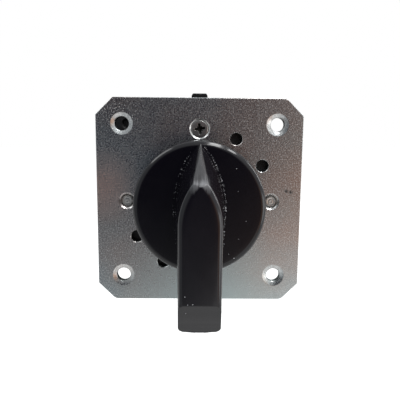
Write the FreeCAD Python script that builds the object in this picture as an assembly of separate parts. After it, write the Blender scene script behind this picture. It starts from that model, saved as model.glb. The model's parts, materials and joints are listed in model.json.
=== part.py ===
import FreeCAD, Part
import math
import os

Vector = FreeCAD.Vector

# Rotary cam switch with two positions and three contact decks. Its front faces -Y and +Z is up.
# The origin is where the spindle's axis meets the front plate's front face. "Depth" is measured
# along +Y from there, so what stands in front of the plate has a negative depth. Sizes are in mm.

# Front plate: a square steel plate with cut corners and collared fixing holes
plate_side = 64.0
plate_thickness = 2.0
corner_cut = 5.3
corner_blend = 2.5
fixing_pitch = 48.0
fixing_bore = 4.3
fixing_flare = 6.9
flare_depth = 0.45
collar_diameter = 7.6
collar_length = 0.7
ring_radius = 22.6
spare_hole = 3.9
spare_angles = (30.0, 60.0, 210.0, 240.0)

# Fasteners
plate_screw_size = 4.0
plate_screw_head = 5.7
plate_screw_length = 11.5
countersink_margin = 0.3
tie_bolt_size = 3.5
tie_bolt_head = 6.4
tie_bolt_head_height = 2.4
tie_bolt_sink = 5.2
terminal_screw_size = 3.5
terminal_head = 6.4
terminal_head_height = 2.4
set_screw_size = 4.0
set_screw_length = 5.0
slot_width = 1.0
slot_depth = 1.0
cross_span = 3.4
flush_recess = 0.3

# Clearances
running_gap = 0.05
seat_gap = 0.05
bolt_gap = 0.15
side_gap = 0.15
lift_gap = 0.2

# Latch housing, with the bearing that carries the spindle at the front
housing_depth = 14.0
housing_wall = 2.0
housing_floor = 2.5
bearing_radius = 6.0
bearing_wall = 2.9
bearing_reach = 3.0
boss_wall = 1.4

# Latch: star wheel, bow springs, and the stop that allows a quarter turn
knob_travel = 90.0
star_thickness = 5.0
star_lift = 0.6
star_tip_radius = 10.2
star_notch_radius = 6.8
star_tip_angle = 7.0
bow_radius = 14.0
bow_half_chord = 12.0
bow_thickness = 0.6
bow_width = 4.0
bow_overhang = 1.5
bow_post_radius = 1.2
stop_thickness = 3.0
stop_radius = 12.3
stop_lug_angle = 30.0
stop_slack_angle = 1.0

# Spindle
shaft_square = 7.0
pivot_radius = 3.0
hub_wall = 1.3
clip_thickness = 0.6
clip_width = 2.4
clip_groove = 0.6
clip_mouth = 60.0

# Contact decks
deck_count = 3
deck_depth = 13.0
deck_floor = 1.5
deck_wall = 1.5
deck_half_width = 24.0
deck_blend = 1.6
deck_half_height = 22.0
pocket_top = 32.0
pocket_width = 10.2
rib_width = 5.4
rib_top = 34.2
rib_bevel = 0.8
ear_reach = 28.6
ear_bottom = 21.6
ear_top = 26.4
stack_peg_radius = 1.4
stack_peg_length = 1.2
cover_thickness = 3.0
cover_rim = 2.0
cover_recess = 1.0
cover_rib = 1.6
pivot_boss_radius = 6.5
pivot_boss_height = 2.6

# Contacts
cam_high = 9.5
contact_travel = 2.5
cam_width = 6.0
plunger_width = 8.0
plunger_length = 4.15
nose_half = 0.9
nose_rise = 1.6
nose_blend = 0.8
plunger_leg = 3.6
leg_gap = 0.4
bridge_thickness = 1.0
bridge_width = 5.0
bridge_half_length = 13.0
tip_length = 3.6
tip_height = 0.7
tip_offset = 11.0
contact_gap = 0.1
contact_thickness = 1.0
contact_bend = 0.9
terminal_pad = 8.0
washer_side = 8.0
washer_thickness = 1.2
screw_reach = 3.6
spring_radius = 2.0
spring_wire = 0.5
spring_turns = 3.0
spring_seat = 19.0
guide_wall = 1.5
guide_inset = 1.0
peg_radius = 1.0
peg_reach = 1.0

# Knob: a round skirt in front of the plate
knob_radius = 19.4
knob_front = 13.6
knob_back = 7.5
knob_edge = 1.0
knob_wall = 2.2
knob_hub_wall = 2.2
knob_rib = 1.4
knob_rib_step = 0.8
knob_hub_reach = 5.0
socket_reach = 34.0
shaft_end_gap = 0.5
set_screw_inset = 12.0

# Pointer grip on the skirt: each outline has a nose, a shoulder where its side turns straight, and
# a tail. The root outline lies in the skirt's front, and the rim outline is a band behind the front
grip_front = 40.0
band_width = 1.3
band_depth = 1.3
band_drop = 0.9
root_nose_half = 0.4
root_nose_top = 18.8
root_shoulder_half = 7.2
root_shoulder_top = 0.0
root_tail_half = 6.4
root_tail_low = 17.2
rim_nose_half = 1.8
rim_nose_top = 10.4
rim_shoulder_half = 5.4
rim_shoulder_top = -0.4
rim_tail_half = 5.3
front_nose_half = 0.15
tail_low = 28.3
tail_front = 34.2
tail_bevel_start = 19.2
tail_corner = 1.3
core_wall = 2.4

# Places that follow from the sizes above
housing_back = plate_thickness + housing_depth
housing_radius = ring_radius + plate_screw_size / 2 + seat_gap + boss_wall
collar_front = -bearing_reach
hub_radius = shaft_square / 2 * math.sqrt(2) + hub_wall
socket_square = shaft_square + 2 * running_gap
bearing_collar_radius = bearing_radius + bearing_wall
star_front = plate_thickness + housing_floor + star_lift
star_back = star_front + star_thickness
stop_front = housing_back - stop_thickness
cover_front = housing_back + deck_count * deck_depth
cover_back = cover_front + cover_thickness
boss_back = cover_back + pivot_boss_height
nose = cam_high + lift_gap
plunger_back = nose + plunger_length
bridge_front = plunger_back + seat_gap
bridge_back = bridge_front + bridge_thickness
fixed_face = bridge_front - tip_height - contact_travel - contact_gap
leg_thickness = (deck_depth - deck_floor - bridge_width) / 2 - side_gap - leg_gap
leg_outer = fixed_face - tip_height
set_screw_reach = socket_reach - set_screw_inset
leg_inner = leg_outer - contact_thickness
pocket_inner = leg_inner - contact_gap
pocket_outer = pocket_inner + pocket_width
terminal_x = leg_outer + contact_gap + washer_side / 2
pad_top = deck_half_height + contact_thickness
head_seat = pad_top + washer_thickness
chamber_half_height = deck_half_height - deck_wall
chamber_half_width = deck_half_width - deck_wall


def outline(corners, depth):
    """Closed wire across the spindle's axis: a corner is (x, z), or (x, z, blend radius)."""
    places = [Vector(corner[0], depth, corner[1]) for corner in corners]
    blends = [corner[2] if len(corner) > 2 else 0.0 for corner in corners]
    stops = []
    for index, place in enumerate(places):
        to_last = (places[index - 1] - place).normalize()
        to_next = (places[(index + 1) % len(places)] - place).normalize()
        if not blends[index]:
            stops.append((place, None, place))
            continue
        half_turn = to_last.getAngle(to_next) / 2
        reach = blends[index] / math.tan(half_turn)
        bisector = (to_last + to_next).normalize()
        middle = place + bisector * (blends[index] / math.sin(half_turn) - blends[index])
        stops.append((place + to_last * reach, middle, place + to_next * reach))
    edges = []
    for index, (start, middle, end) in enumerate(stops):
        if middle is not None:
            edges.append(Part.Arc(start, middle, end).toShape())
        following = stops[(index + 1) % len(stops)][0]
        if (following - end).Length > 1e-6:
            edges.append(Part.LineSegment(end, following).toShape())
    return Part.Wire(edges)


def prism(corners, front, back):
    """Solid of one outline between two depths."""
    return Part.Face(outline(corners, front)).extrude(Vector(0, back - front, 0))


def rectangle(left, right, low, high):
    return [(left, low), (right, low), (right, high), (left, high)]


def block(left, right, front, back, low, high):
    return prism(rectangle(left, right, low, high), front, back)


def rod(x, z, radius, front, back):
    """Cylinder along the spindle's direction."""
    return Part.makeCylinder(radius, back - front, Vector(x, front, z), Vector(0, 1, 0))


def upright_rod(x, depth, radius, low, high):
    return Part.makeCylinder(radius, high - low, Vector(x, depth, low), Vector(0, 0, 1))


def side_rod(depth, z, radius, left, right):
    return Part.makeCylinder(radius, right - left, Vector(left, depth, z), Vector(1, 0, 0))


def countersink(x, z, wide, narrow, front):
    """45 degree cone that narrows towards the back, from radius wide to radius narrow."""
    return Part.makeCone(wide, narrow, wide - narrow, Vector(x, front, z), Vector(0, 1, 0))


def turned(profile):
    """Solid of revolution about the spindle's axis: profile holds (radius, depth) corners."""
    places = [Vector(radius, depth, 0) for radius, depth in profile]
    face = Part.Face(Part.makePolygon(places + places[:1]))
    return face.revolve(Vector(0, 0, 0), Vector(0, 1, 0), 360)


def extruded_side(corners, half_width):
    """Solid of an outline seen from the side, (depth, z) corners, as wide as 2 x half_width."""
    places = [Vector(-half_width, depth, z) for depth, z in corners]
    face = Part.Face(Part.makePolygon(places + places[:1]))
    return face.extrude(Vector(2 * half_width, 0, 0))


def sector(inner, outer, start, end, front, back):
    """Part of a ring between two angles, in degrees from +X towards +Z."""

    def at(radius, angle):
        turn = math.radians(angle)
        return Vector(radius * math.cos(turn), front, radius * math.sin(turn))

    middle = (start + end) / 2
    edges = [
        Part.Arc(at(outer, start), at(outer, middle), at(outer, end)).toShape(),
        Part.LineSegment(at(outer, end), at(inner, end)).toShape(),
        Part.Arc(at(inner, end), at(inner, middle), at(inner, start)).toShape(),
        Part.LineSegment(at(inner, start), at(outer, start)).toShape(),
    ]
    return Part.Face(Part.Wire(edges)).extrude(Vector(0, back - front, 0))


def turned_about(shape, angle):
    """Copy turned about the spindle's axis, in degrees from +X towards +Z."""
    copy = shape.copy()
    copy.rotate(Vector(0, 0, 0), Vector(0, 1, 0), -angle)
    return copy


def both_sides(shape):
    """The shape and its copy half a turn round the spindle, as two solids."""
    return [shape, turned_about(shape, 180)]


def ring_place(angle):
    turn = math.radians(angle)
    return ring_radius * math.cos(turn), ring_radius * math.sin(turn)


def square_socket(front, back):
    half = socket_square / 2
    return block(-half, half, front, back, -half, half)


def make_front_plate():
    half = plate_side / 2
    inner = half - corner_cut
    corners = [
        (-inner, half),
        (inner, half, corner_blend),
        (half, inner),
        (half, -inner),
        (inner, -half, corner_blend),
        (-inner, -half, corner_blend),
        (-half, -inner),
        (-half, inner),
    ]
    plate = prism(corners, 0, plate_thickness)
    collar_back = plate_thickness + collar_length
    pitch = fixing_pitch / 2
    for x, z in ((-pitch, -pitch), (-pitch, pitch), (pitch, -pitch), (pitch, pitch)):
        plate = plate.fuse(rod(x, z, collar_diameter / 2, 0, collar_back))
        flare = Part.makeCone(
            fixing_flare / 2, fixing_bore / 2, flare_depth, Vector(x, 0, z), Vector(0, 1, 0)
        )
        plate = plate.cut(rod(x, z, fixing_bore / 2, 0, collar_back).fuse(flare))
    plate = plate.cut(rod(0, 0, bearing_collar_radius + seat_gap, 0, plate_thickness))
    for angle in spare_angles:
        plate = plate.cut(rod(*ring_place(angle), spare_hole / 2, 0, plate_thickness))
    for angle in (90, 270):
        bore = plate_screw_size / 2 + bolt_gap
        sink = countersink(*ring_place(angle), plate_screw_head / 2 + countersink_margin, bore, 0)
        plate = plate.cut(rod(*ring_place(angle), bore, 0, plate_thickness).fuse(sink))
    for angle in (0, 180):
        bore = tie_bolt_size / 2 + bolt_gap
        sink = countersink(*ring_place(angle), tie_bolt_sink / 2, bore, 0)
        plate = plate.cut(rod(*ring_place(angle), bore, 0, plate_thickness).fuse(sink))
    return plate.removeSplitter()


def make_latch_housing():
    floor_back = plate_thickness + housing_floor
    inside = housing_radius - housing_wall
    bore = bearing_radius + running_gap
    bearing_back = star_front - side_gap
    housing = turned(
        [
            (bore, collar_front),
            (bearing_collar_radius, collar_front),
            (bearing_collar_radius, plate_thickness),
            (housing_radius, plate_thickness),
            (housing_radius, housing_back),
            (inside, housing_back),
            (inside, floor_back),
            (bearing_collar_radius, floor_back),
            (bearing_collar_radius, bearing_back),
            (bore, bearing_back),
        ]
    )
    screw_bore = plate_screw_size / 2 + seat_gap
    bolt_bore = tie_bolt_size / 2 + bolt_gap
    for angle, size, boss_end in (
        (90, screw_bore, stop_front - side_gap),
        (270, screw_bore, stop_front - side_gap),
        (0, bolt_bore, housing_back),
        (180, bolt_bore, housing_back),
    ):
        x, z = ring_place(angle)
        housing = housing.fuse(rod(x, z, size + boss_wall, floor_back, boss_end))
        housing = housing.cut(rod(x, z, size, plate_thickness, boss_end))
    for x, z in bow_posts():
        housing = housing.fuse(rod(x, z, bow_post_radius, floor_back, star_back))
    return housing.removeSplitter()


def bow_centre():
    return star_notch_radius + side_gap + bow_radius


def bow_posts():
    """Places of the four posts that the ends of the two bow springs push against."""
    reach = bow_radius - bow_thickness - seat_gap - bow_post_radius
    swing = math.asin((bow_half_chord - bow_overhang) / bow_radius)
    x, z = reach * math.sin(swing), bow_centre() - reach * math.cos(swing)
    return [(x, z), (-x, z), (x, -z), (-x, -z)]


def make_bow_spring():
    """Leaf bent to an arc whose middle sits in the star wheel's notch."""
    swing = math.degrees(math.asin(bow_half_chord / bow_radius))
    front = (star_front + star_back - bow_width) / 2
    bow = sector(
        bow_radius - bow_thickness, bow_radius, 270 - swing, 270 + swing, front, front + bow_width
    )
    bow.translate(Vector(0, 0, bow_centre()))
    return bow


def make_star_wheel():
    """Four rounded tips with hollow flanks between them, on the hub that runs in the bearing."""

    def at(radius, angle):
        turn = math.radians(angle)
        return Vector(radius * math.cos(turn), star_front, radius * math.sin(turn))

    edges = []
    for quarter in range(4):
        tip = 45 + 90 * quarter
        near, far = tip - star_tip_angle, tip + star_tip_angle
        tip_arc = Part.Arc(
            at(star_tip_radius, near), at(star_tip_radius, tip), at(star_tip_radius, far)
        )
        flank = Part.Arc(
            at(star_tip_radius, far),
            at(star_notch_radius, tip + 45),
            at(star_tip_radius, near + 90),
        )
        edges += [tip_arc.toShape(), flank.toShape()]
    star = Part.Face(Part.Wire(edges)).extrude(Vector(0, star_thickness, 0))
    star = star.fuse(rod(0, 0, bearing_radius, collar_front + seat_gap, star_front))
    return star.cut(square_socket(collar_front, star_back))


def make_stop_cam():
    half_lug = stop_lug_angle / 2
    front, back = stop_front + side_gap, housing_back - side_gap
    cam = rod(0, 0, hub_radius, star_back, housing_back)
    for middle in (90, 270):
        lug = sector(hub_radius / 2, stop_radius, middle - half_lug, middle + half_lug, front, back)
        cam = cam.fuse(lug)
    return cam.cut(square_socket(star_back, housing_back)).removeSplitter()


def make_stop_plate():
    """Disc whose two windows let the stop cam's lugs turn by the knob's travel."""
    plate = rod(0, 0, housing_radius - housing_wall - seat_gap, stop_front, housing_back)
    plate = plate.cut(rod(0, 0, hub_radius + bolt_gap, stop_front, housing_back))
    half_lug = stop_lug_angle / 2 + stop_slack_angle
    for start in (90 - knob_travel, 270 - knob_travel):
        window = sector(
            hub_radius / 2,
            stop_radius + side_gap,
            start - half_lug,
            start + knob_travel + half_lug,
            stop_front,
            housing_back,
        )
        plate = plate.cut(window)
    boss = tie_bolt_size / 2 + bolt_gap + boss_wall + seat_gap
    for angle in (0, 180):
        plate = plate.cut(rod(*ring_place(angle), boss, stop_front, housing_back))
    return plate.removeSplitter()


def make_plate_screw():
    """Countersunk screw with a plain cross recess."""
    x, z = ring_place(90)
    front = flush_recess
    head = plate_screw_head / 2 + countersink_margin - flush_recess - seat_gap
    cone = countersink(x, z, head, plate_screw_size / 2, front)
    screw = cone.fuse(rod(x, z, plate_screw_size / 2, front, plate_screw_length))
    half, reach = slot_width / 2, cross_span / 2
    cross = block(x - half, x + half, front, front + slot_depth, z - reach, z + reach)
    cross = cross.fuse(block(x - reach, x + reach, front, front + slot_depth, z - half, z + half))
    return screw.cut(cross).removeSplitter()


def make_tie_bolt():
    """Bolt with a slotted head at the back; its bevelled end sits in the front plate's sink."""
    x, z = ring_place(0)
    radius = tie_bolt_size / 2
    shank = rod(x, z, radius, 2 * flush_recess, cover_back)
    tip = Part.makeCone(
        radius - flush_recess, radius, flush_recess, Vector(x, flush_recess, z), Vector(0, 1, 0)
    )
    head_back = cover_back + tie_bolt_head_height
    head = rod(x, z, tie_bolt_head / 2, cover_back, head_back)
    slot = block(
        x - tie_bolt_head, x + tie_bolt_head, head_back - slot_depth, head_back,
        z - slot_width / 2, z + slot_width / 2,
    )
    return shank.fuse(tip).fuse(head.cut(slot)).removeSplitter()


def deck_corners():
    """Deck outline: half of it, and the same half turned half a turn round the spindle."""
    boss_reach = ring_radius + tie_bolt_size / 2 + bolt_gap + boss_wall
    boss_half = tie_bolt_size / 2 + bolt_gap + boss_wall
    left, right = pocket_inner - deck_wall, pocket_outer + deck_wall
    rib = rib_width / 2
    wide, high = deck_half_width, deck_half_height
    half = [
        (wide, -boss_half - boss_wall),
        (boss_reach, boss_wall - boss_half, deck_blend),
        (boss_reach, boss_half - boss_wall, deck_blend),
        (wide, boss_half + boss_wall),
        (wide, high),
        (right, high),
        (right, pocket_top),
        (left, pocket_top),
        (left, high),
        (rib, high),
        (rib, rib_top - rib_bevel),
        (rib - rib_bevel / 2, rib_top),
        (-rib + rib_bevel / 2, rib_top),
        (-rib, rib_top - rib_bevel),
        (-rib, high),
        (-left, high),
        (-left, pocket_top),
        (-right, pocket_top),
        (-right, ear_top),
        (-ear_reach, ear_top),
        (-ear_reach, ear_bottom),
        (-wide, ear_bottom),
    ]
    return half + [(-corner[0], -corner[1], *corner[2:]) for corner in half]


def stack_peg(face, gap):
    """Peg in the corner ear, or the cutter of its socket when there is a gap."""
    x = -(ear_reach + pocket_outer + deck_wall) / 2
    z = (ear_top + ear_bottom) / 2
    return rod(x, z, stack_peg_radius + gap, face, face + stack_peg_length + gap)


def chamber_corners():
    """Inside of a deck: wide above and below, narrow where the springs take their seat."""
    wide, high, seat = chamber_half_width, chamber_half_height, spring_seat
    step = tie_bolt_size / 2 + bolt_gap + boss_wall + deck_wall
    half = [(seat, -step), (seat, step), (wide, step), (wide, high), (-wide, high), (-wide, step)]
    return half + [(-x, -z) for x, z in half]


def make_deck(front):
    """Moulded tray, open at the back, where the next deck's floor closes it. Pegs on its ears
    sit in the next deck's sockets."""
    back = front + deck_depth
    floor = front + deck_floor
    middle = (floor + back) / 2
    deck = prism(deck_corners(), front, back)
    deck = deck.cut(prism(chamber_corners(), floor, back))
    deck = deck.cut(rod(0, 0, hub_radius + running_gap, front, back))
    pocket_floor = deck_half_height
    slot_half = bridge_width / 2 + contact_gap
    hollows = [
        block(pocket_inner, pocket_outer, floor, back, pocket_floor, pocket_top),
        block(-pocket_outer, -pocket_inner, floor, back, pocket_floor, pocket_top),
        block(pocket_inner, leg_outer + contact_gap, middle - slot_half, back,
              chamber_half_height, pocket_floor),
        block(-leg_outer - contact_gap, -pocket_inner, middle - slot_half, back,
              chamber_half_height, pocket_floor),
        upright_rod(terminal_x, middle, terminal_screw_size / 2 + bolt_gap,
                    chamber_half_height, pocket_floor),
        upright_rod(-terminal_x, middle, terminal_screw_size / 2 + bolt_gap,
                    chamber_half_height, pocket_floor),
        block(-rib_width / 2 + deck_wall, rib_width / 2 - deck_wall, floor, back,
              deck_half_height, rib_top - rib_bevel - deck_wall),
        rod(ring_radius, 0, tie_bolt_size / 2 + bolt_gap, front, back),
    ]
    for hollow in hollows:
        for copy in both_sides(hollow):
            deck = deck.cut(copy)
    guide_inner = plunger_width / 2 + side_gap
    rail = block(nose + guide_inset, spring_seat, floor, floor + leg_thickness,
                 guide_inner, guide_inner + guide_wall)
    rail = rail.fuse(mirrored_low(rail))
    for copy in both_sides(rail) + both_sides(stack_peg(back, 0)):
        deck = deck.fuse(copy)
    for copy in both_sides(stack_peg(front, bolt_gap)):
        deck = deck.cut(copy)
    return deck.removeSplitter()


def make_end_cover():
    """Plate that closes the last deck, with the boss that carries the spindle's pivot."""
    cover = prism(deck_corners(), cover_front, cover_back)
    wide, high = deck_half_width - cover_rim, deck_half_height - cover_rim
    recess = block(-wide, wide, cover_back - cover_recess, cover_back, -high, high)
    seat = tie_bolt_head / 2 + cover_rib
    for angle in (0, 180):
        x, z = ring_place(angle)
        recess = recess.cut(rod(x, z, seat, cover_back - cover_recess, cover_back))
    half_rib = cover_rib / 2
    for rib in (
        block(-wide, wide, cover_back - cover_recess, cover_back, -half_rib, half_rib),
        block(-half_rib, half_rib, cover_back - cover_recess, cover_back, -high, high),
    ):
        recess = recess.cut(rib)
    cover = cover.cut(recess)
    cover = cover.fuse(rod(0, 0, pivot_boss_radius, cover_front, boss_back))
    cover = cover.cut(rod(0, 0, pivot_radius + running_gap, cover_front, boss_back))
    for copy in both_sides(stack_peg(cover_front, bolt_gap)):
        cover = cover.cut(copy)
    for angle in (0, 180):
        hole = rod(*ring_place(angle), tie_bolt_size / 2 + bolt_gap, cover_front, cover_back)
        cover = cover.cut(hole)
    return cover.removeSplitter()


def make_cam(front):
    """Hub with a lobe that falls evenly from its two high points to its two low points."""
    back = front + deck_depth
    lobe_front = (front + deck_floor + back - cam_width) / 2

    def ramp_place(quarter, share):
        fall = share if quarter % 2 == 0 else 1 - share
        radius = cam_high - contact_travel * fall
        turn = math.pi / 2 * (quarter + share)
        return Vector(radius * math.cos(turn), lobe_front, radius * math.sin(turn))

    ramps = [
        Part.Arc(*(ramp_place(quarter, share) for share in (0, 0.5, 1))).toShape()
        for quarter in range(4)
    ]
    lobe = Part.Face(Part.Wire(ramps)).extrude(Vector(0, cam_width, 0))
    cam = rod(0, 0, hub_radius, front, back).fuse(lobe)
    return cam.cut(square_socket(front, back)).removeSplitter()


def make_shaft():
    half = shaft_square / 2
    shaft = block(-half, half, -socket_reach + shaft_end_gap, cover_front, -half, half)
    groove_front = boss_back + seat_gap
    groove_back = groove_front + clip_thickness + 2 * seat_gap
    pivot = rod(0, 0, pivot_radius, cover_front, groove_back + clip_thickness)
    groove = rod(0, 0, pivot_radius, groove_front, groove_back)
    groove = groove.cut(rod(0, 0, pivot_radius - clip_groove, groove_front, groove_back))
    return shaft.fuse(pivot).cut(groove)


def make_retaining_clip():
    """Open ring that snaps into the groove behind the end cover."""
    front = boss_back + 2 * seat_gap
    inner = pivot_radius - clip_groove + seat_gap
    start, end = clip_mouth / 2 - 90, 270 - clip_mouth / 2
    return sector(inner, inner + clip_width, start, end, front, front + clip_thickness)


def make_plunger(front):
    """Follower on the +X side: a nose on the cam, and two legs that straddle the bridge."""
    floor, back = front + deck_floor, front + deck_depth
    middle = (floor + back) / 2
    half = plunger_width / 2
    shoulder = nose + nose_rise
    corners = [
        (nose, -nose_half, nose_blend),
        (shoulder, -half),
        (plunger_back + plunger_leg, -half),
        (plunger_back + plunger_leg, half),
        (shoulder, half),
        (nose, nose_half, nose_blend),
    ]
    plunger = prism(corners, floor + side_gap, back - side_gap)
    window = block(
        plunger_back, plunger_back + plunger_leg,
        floor + side_gap + leg_thickness, back - side_gap - leg_thickness, -half, half,
    )
    peg = side_rod(middle, 0, peg_radius, plunger_back, bridge_back + peg_reach)
    return plunger.cut(window).fuse(peg).removeSplitter()


def make_bridge(front):
    """Moving contact bar with a tip near each end, on the +X side."""
    middle = front + (deck_floor + deck_depth) / 2
    half = bridge_width / 2
    bridge = block(
        bridge_front, bridge_back, middle - half, middle + half,
        -bridge_half_length, bridge_half_length,
    )
    for z in (-tip_offset, tip_offset):
        tip = block(bridge_front - tip_height, bridge_front, middle - half, middle + half,
                    z - tip_length / 2, z + tip_length / 2)
        bridge = bridge.fuse(tip)
    hole = side_rod(middle, 0, peg_radius + seat_gap, bridge_front, bridge_back)
    return bridge.cut(hole).removeSplitter()


def make_spring(front):
    """Coil that pushes the bridge back towards the spindle: square wire, ten sides to a turn."""
    middle = front + (deck_floor + deck_depth) / 2
    start = bridge_back + seat_gap
    rise = spring_seat - seat_gap - spring_wire - start
    sides = 10
    count = round(spring_turns * sides)
    half = spring_wire / 2
    rings = []
    for index in range(count + 1):
        turn = 2 * math.pi * index / sides
        x = start + half + rise * index / count
        ring = []
        for radial, axial in ((-half, -half), (half, -half), (half, half), (-half, half)):
            radius = spring_radius + radial
            ring.append(
                Vector(x + axial, middle + radius * math.cos(turn), radius * math.sin(turn))
            )
        rings.append(ring)
    faces = [Part.Face(Part.makePolygon(ring + ring[:1])) for ring in (rings[0], rings[-1])]
    for near, far in zip(rings, rings[1:]):
        for corner in range(4):
            other = (corner + 1) % 4
            for trio in (
                (near[corner], near[other], far[other]),
                (near[corner], far[other], far[corner]),
            ):
                faces.append(Part.Face(Part.makePolygon([*trio, trio[0]])))
    coil = Part.Solid(Part.Shell(faces))
    if coil.Volume < 0:
        coil.reverse()
    return coil


def make_fixed_contact(front):
    """Upper contact on the +X side: a leg with a tip, bent over to a fork for the terminal screw."""
    middle = front + (deck_floor + deck_depth) / 2
    half = bridge_width / 2
    pad_half = terminal_pad / 2
    pad_end = terminal_x + pad_half
    corners = [
        (leg_inner, tip_offset - tip_length / 2),
        (fixed_face, tip_offset - tip_length / 2),
        (fixed_face, tip_offset + tip_length / 2),
        (leg_outer, tip_offset + tip_length / 2),
        (leg_outer, deck_half_height),
        (pad_end, deck_half_height),
        (pad_end, pad_top),
        (leg_inner, pad_top, contact_bend),
    ]
    contact = prism(corners, middle - half, middle + half)
    contact = contact.fuse(
        block(terminal_x - pad_half, pad_end, middle - pad_half, middle + pad_half,
              deck_half_height, pad_top)
    )
    fork = terminal_screw_size / 2 + seat_gap
    slot = block(terminal_x - fork, pad_end, middle - fork, middle + fork,
                 deck_half_height, pad_top)
    return contact.cut(slot).removeSplitter()


def make_clamp_washer(front):
    middle = front + (deck_floor + deck_depth) / 2
    half = washer_side / 2
    washer = block(
        terminal_x - half, terminal_x + half, middle - half, middle + half, pad_top, head_seat
    )
    hole = upright_rod(terminal_x, middle, terminal_screw_size / 2 + bolt_gap, pad_top, head_seat)
    return washer.cut(hole)


def make_terminal_screw(front):
    middle = front + (deck_floor + deck_depth) / 2
    head_top = head_seat + terminal_head_height
    shank = upright_rod(
        terminal_x, middle, terminal_screw_size / 2, deck_half_height - screw_reach, head_seat
    )
    head = upright_rod(terminal_x, middle, terminal_head / 2, head_seat, head_top)
    slot = block(
        terminal_x - terminal_head, terminal_x + terminal_head,
        middle - slot_width / 2, middle + slot_width / 2, head_top - slot_depth, head_top,
    )
    return shank.fuse(head.cut(slot)).removeSplitter()


def grip_outline(depth, nose_half, nose_z, half, shoulder_z, tail_half, tail_z):
    """Pointer outline: a narrow flat nose, an arc down each side, straight flanks and a tail."""

    def arc_middle(side):
        drop = nose_z - shoulder_z
        inset = half - nose_half
        radius = (inset * inset + drop * drop) / (2 * inset)
        turn = math.asin(drop / radius) / 2
        x = half - radius + radius * math.cos(turn)
        return Vector(side * x, depth, shoulder_z + radius * math.sin(turn))

    def at(x, z):
        return Vector(x, depth, z)

    edges = [
        Part.LineSegment(at(-nose_half, nose_z), at(nose_half, nose_z)).toShape(),
        Part.Arc(at(nose_half, nose_z), arc_middle(1), at(half, shoulder_z)).toShape(),
        Part.LineSegment(at(half, shoulder_z), at(tail_half, tail_z)).toShape(),
        Part.LineSegment(at(tail_half, tail_z), at(-tail_half, tail_z)).toShape(),
        Part.LineSegment(at(-tail_half, tail_z), at(-half, shoulder_z)).toShape(),
        Part.Arc(at(-half, shoulder_z), arc_middle(-1), at(-nose_half, nose_z)).toShape(),
    ]
    return Part.Wire(edges)


def tail_at(reach):
    """Height of the grip's sloping underside at a distance in front of the plate."""
    slope = (tail_low - root_tail_low) / (tail_front - knob_front)
    return -(root_tail_low + slope * (reach - knob_front))


def make_grip():
    """Solid pointer: it narrows to the front, where a sloping band runs round its flat face."""
    root_reach, rim_reach = knob_front - knob_edge, grip_front - band_depth
    sections = [
        grip_outline(-root_reach, root_nose_half, root_nose_top, root_shoulder_half,
                     root_shoulder_top, root_tail_half, tail_at(root_reach)),
        grip_outline(-rim_reach, rim_nose_half, rim_nose_top, rim_shoulder_half,
                     rim_shoulder_top, rim_tail_half, tail_at(rim_reach)),
        grip_outline(-grip_front, front_nose_half, rim_nose_top - band_drop,
                     rim_shoulder_half - band_width, rim_shoulder_top - band_drop,
                     rim_tail_half - band_width, tail_at(grip_front)),
    ]
    grip = Part.makeLoft(sections, True, True)
    rise, fall = tail_front - grip_front, tail_bevel_start - tail_low
    beyond = (-grip_front - 2 * rise, -tail_bevel_start + 2 * fall)
    bevel = [
        (-grip_front, -tail_bevel_start),
        beyond,
        (-grip_front - band_depth, beyond[1]),
        (-grip_front - band_depth, -tail_bevel_start),
    ]
    grip = grip.cut(extruded_side(bevel, knob_radius))
    nearly = knob_edge / 2
    corners = [
        edge for edge in grip.Edges
        if edge.BoundBox.ZMax < -root_tail_low + knob_edge
        and edge.BoundBox.XLength < edge.BoundBox.YLength
        and edge.BoundBox.YMin < -tail_front + nearly
        and edge.BoundBox.YMax > -root_reach - nearly
    ]
    return grip.makeFillet(tail_corner, corners)


def grip_cores(clear):
    """Hollows in the grip, open to the back, above and below the hub."""
    inner_face = -knob_front + knob_wall
    deepest = -(grip_front - core_wall)
    tail_foot = tail_front - 2 * core_wall
    lower = [
        (inner_face, -clear),
        (inner_face, tail_at(knob_front) + core_wall),
        (-tail_foot, tail_at(tail_foot) + 1.5 * core_wall),
        (deepest, -tail_bevel_start + core_wall),
        (deepest, -clear),
    ]
    nose_slope = (root_nose_top - rim_nose_top) / (grip_front - knob_front)
    nose_reach = (root_nose_top - 2 * core_wall - clear) / nose_slope
    upper = [
        (inner_face, clear),
        (inner_face, root_nose_top - 2 * core_wall),
        (-knob_front - nose_reach, clear),
    ]
    return [
        extruded_side(lower, rim_tail_half - core_wall / 2),
        extruded_side(upper, rim_shoulder_half / 2 - core_wall / 3),
    ]


def make_knob():
    """Hollow skirt, hub and pointer in one moulding, with a square socket for the spindle."""
    back, front = -knob_back, -knob_front
    inner_face = front + knob_wall
    hub = socket_square / 2 * math.sqrt(2) + knob_hub_wall
    knob = turned(
        [
            (0, front),
            (knob_radius - knob_edge, front),
            (knob_radius - knob_edge * 0.3, front + knob_edge * 0.3),
            (knob_radius, front + knob_edge),
            (knob_radius, back),
            (knob_radius - knob_wall, back),
            (knob_radius - knob_wall, inner_face),
            (hub, inner_face),
            (hub, -knob_hub_reach),
            (0, -knob_hub_reach),
        ]
    )
    knob = knob.fuse(make_grip())
    rib = block(-knob_radius + knob_wall / 2, knob_radius - knob_wall / 2,
                inner_face - knob_wall / 2, back - knob_rib_step, -knob_rib / 2, knob_rib / 2)
    knob = knob.fuse(rib).fuse(turned_about(rib, 90))
    for core in grip_cores(hub + seat_gap):
        knob = knob.cut(core)
    knob = knob.cut(square_socket(-socket_reach, -knob_hub_reach))
    screw_hole = upright_rod(
        0, -set_screw_reach, set_screw_size / 2 + seat_gap,
        tail_at(grip_front), -shaft_square / 2,
    )
    return knob.cut(screw_hole).removeSplitter()


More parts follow.
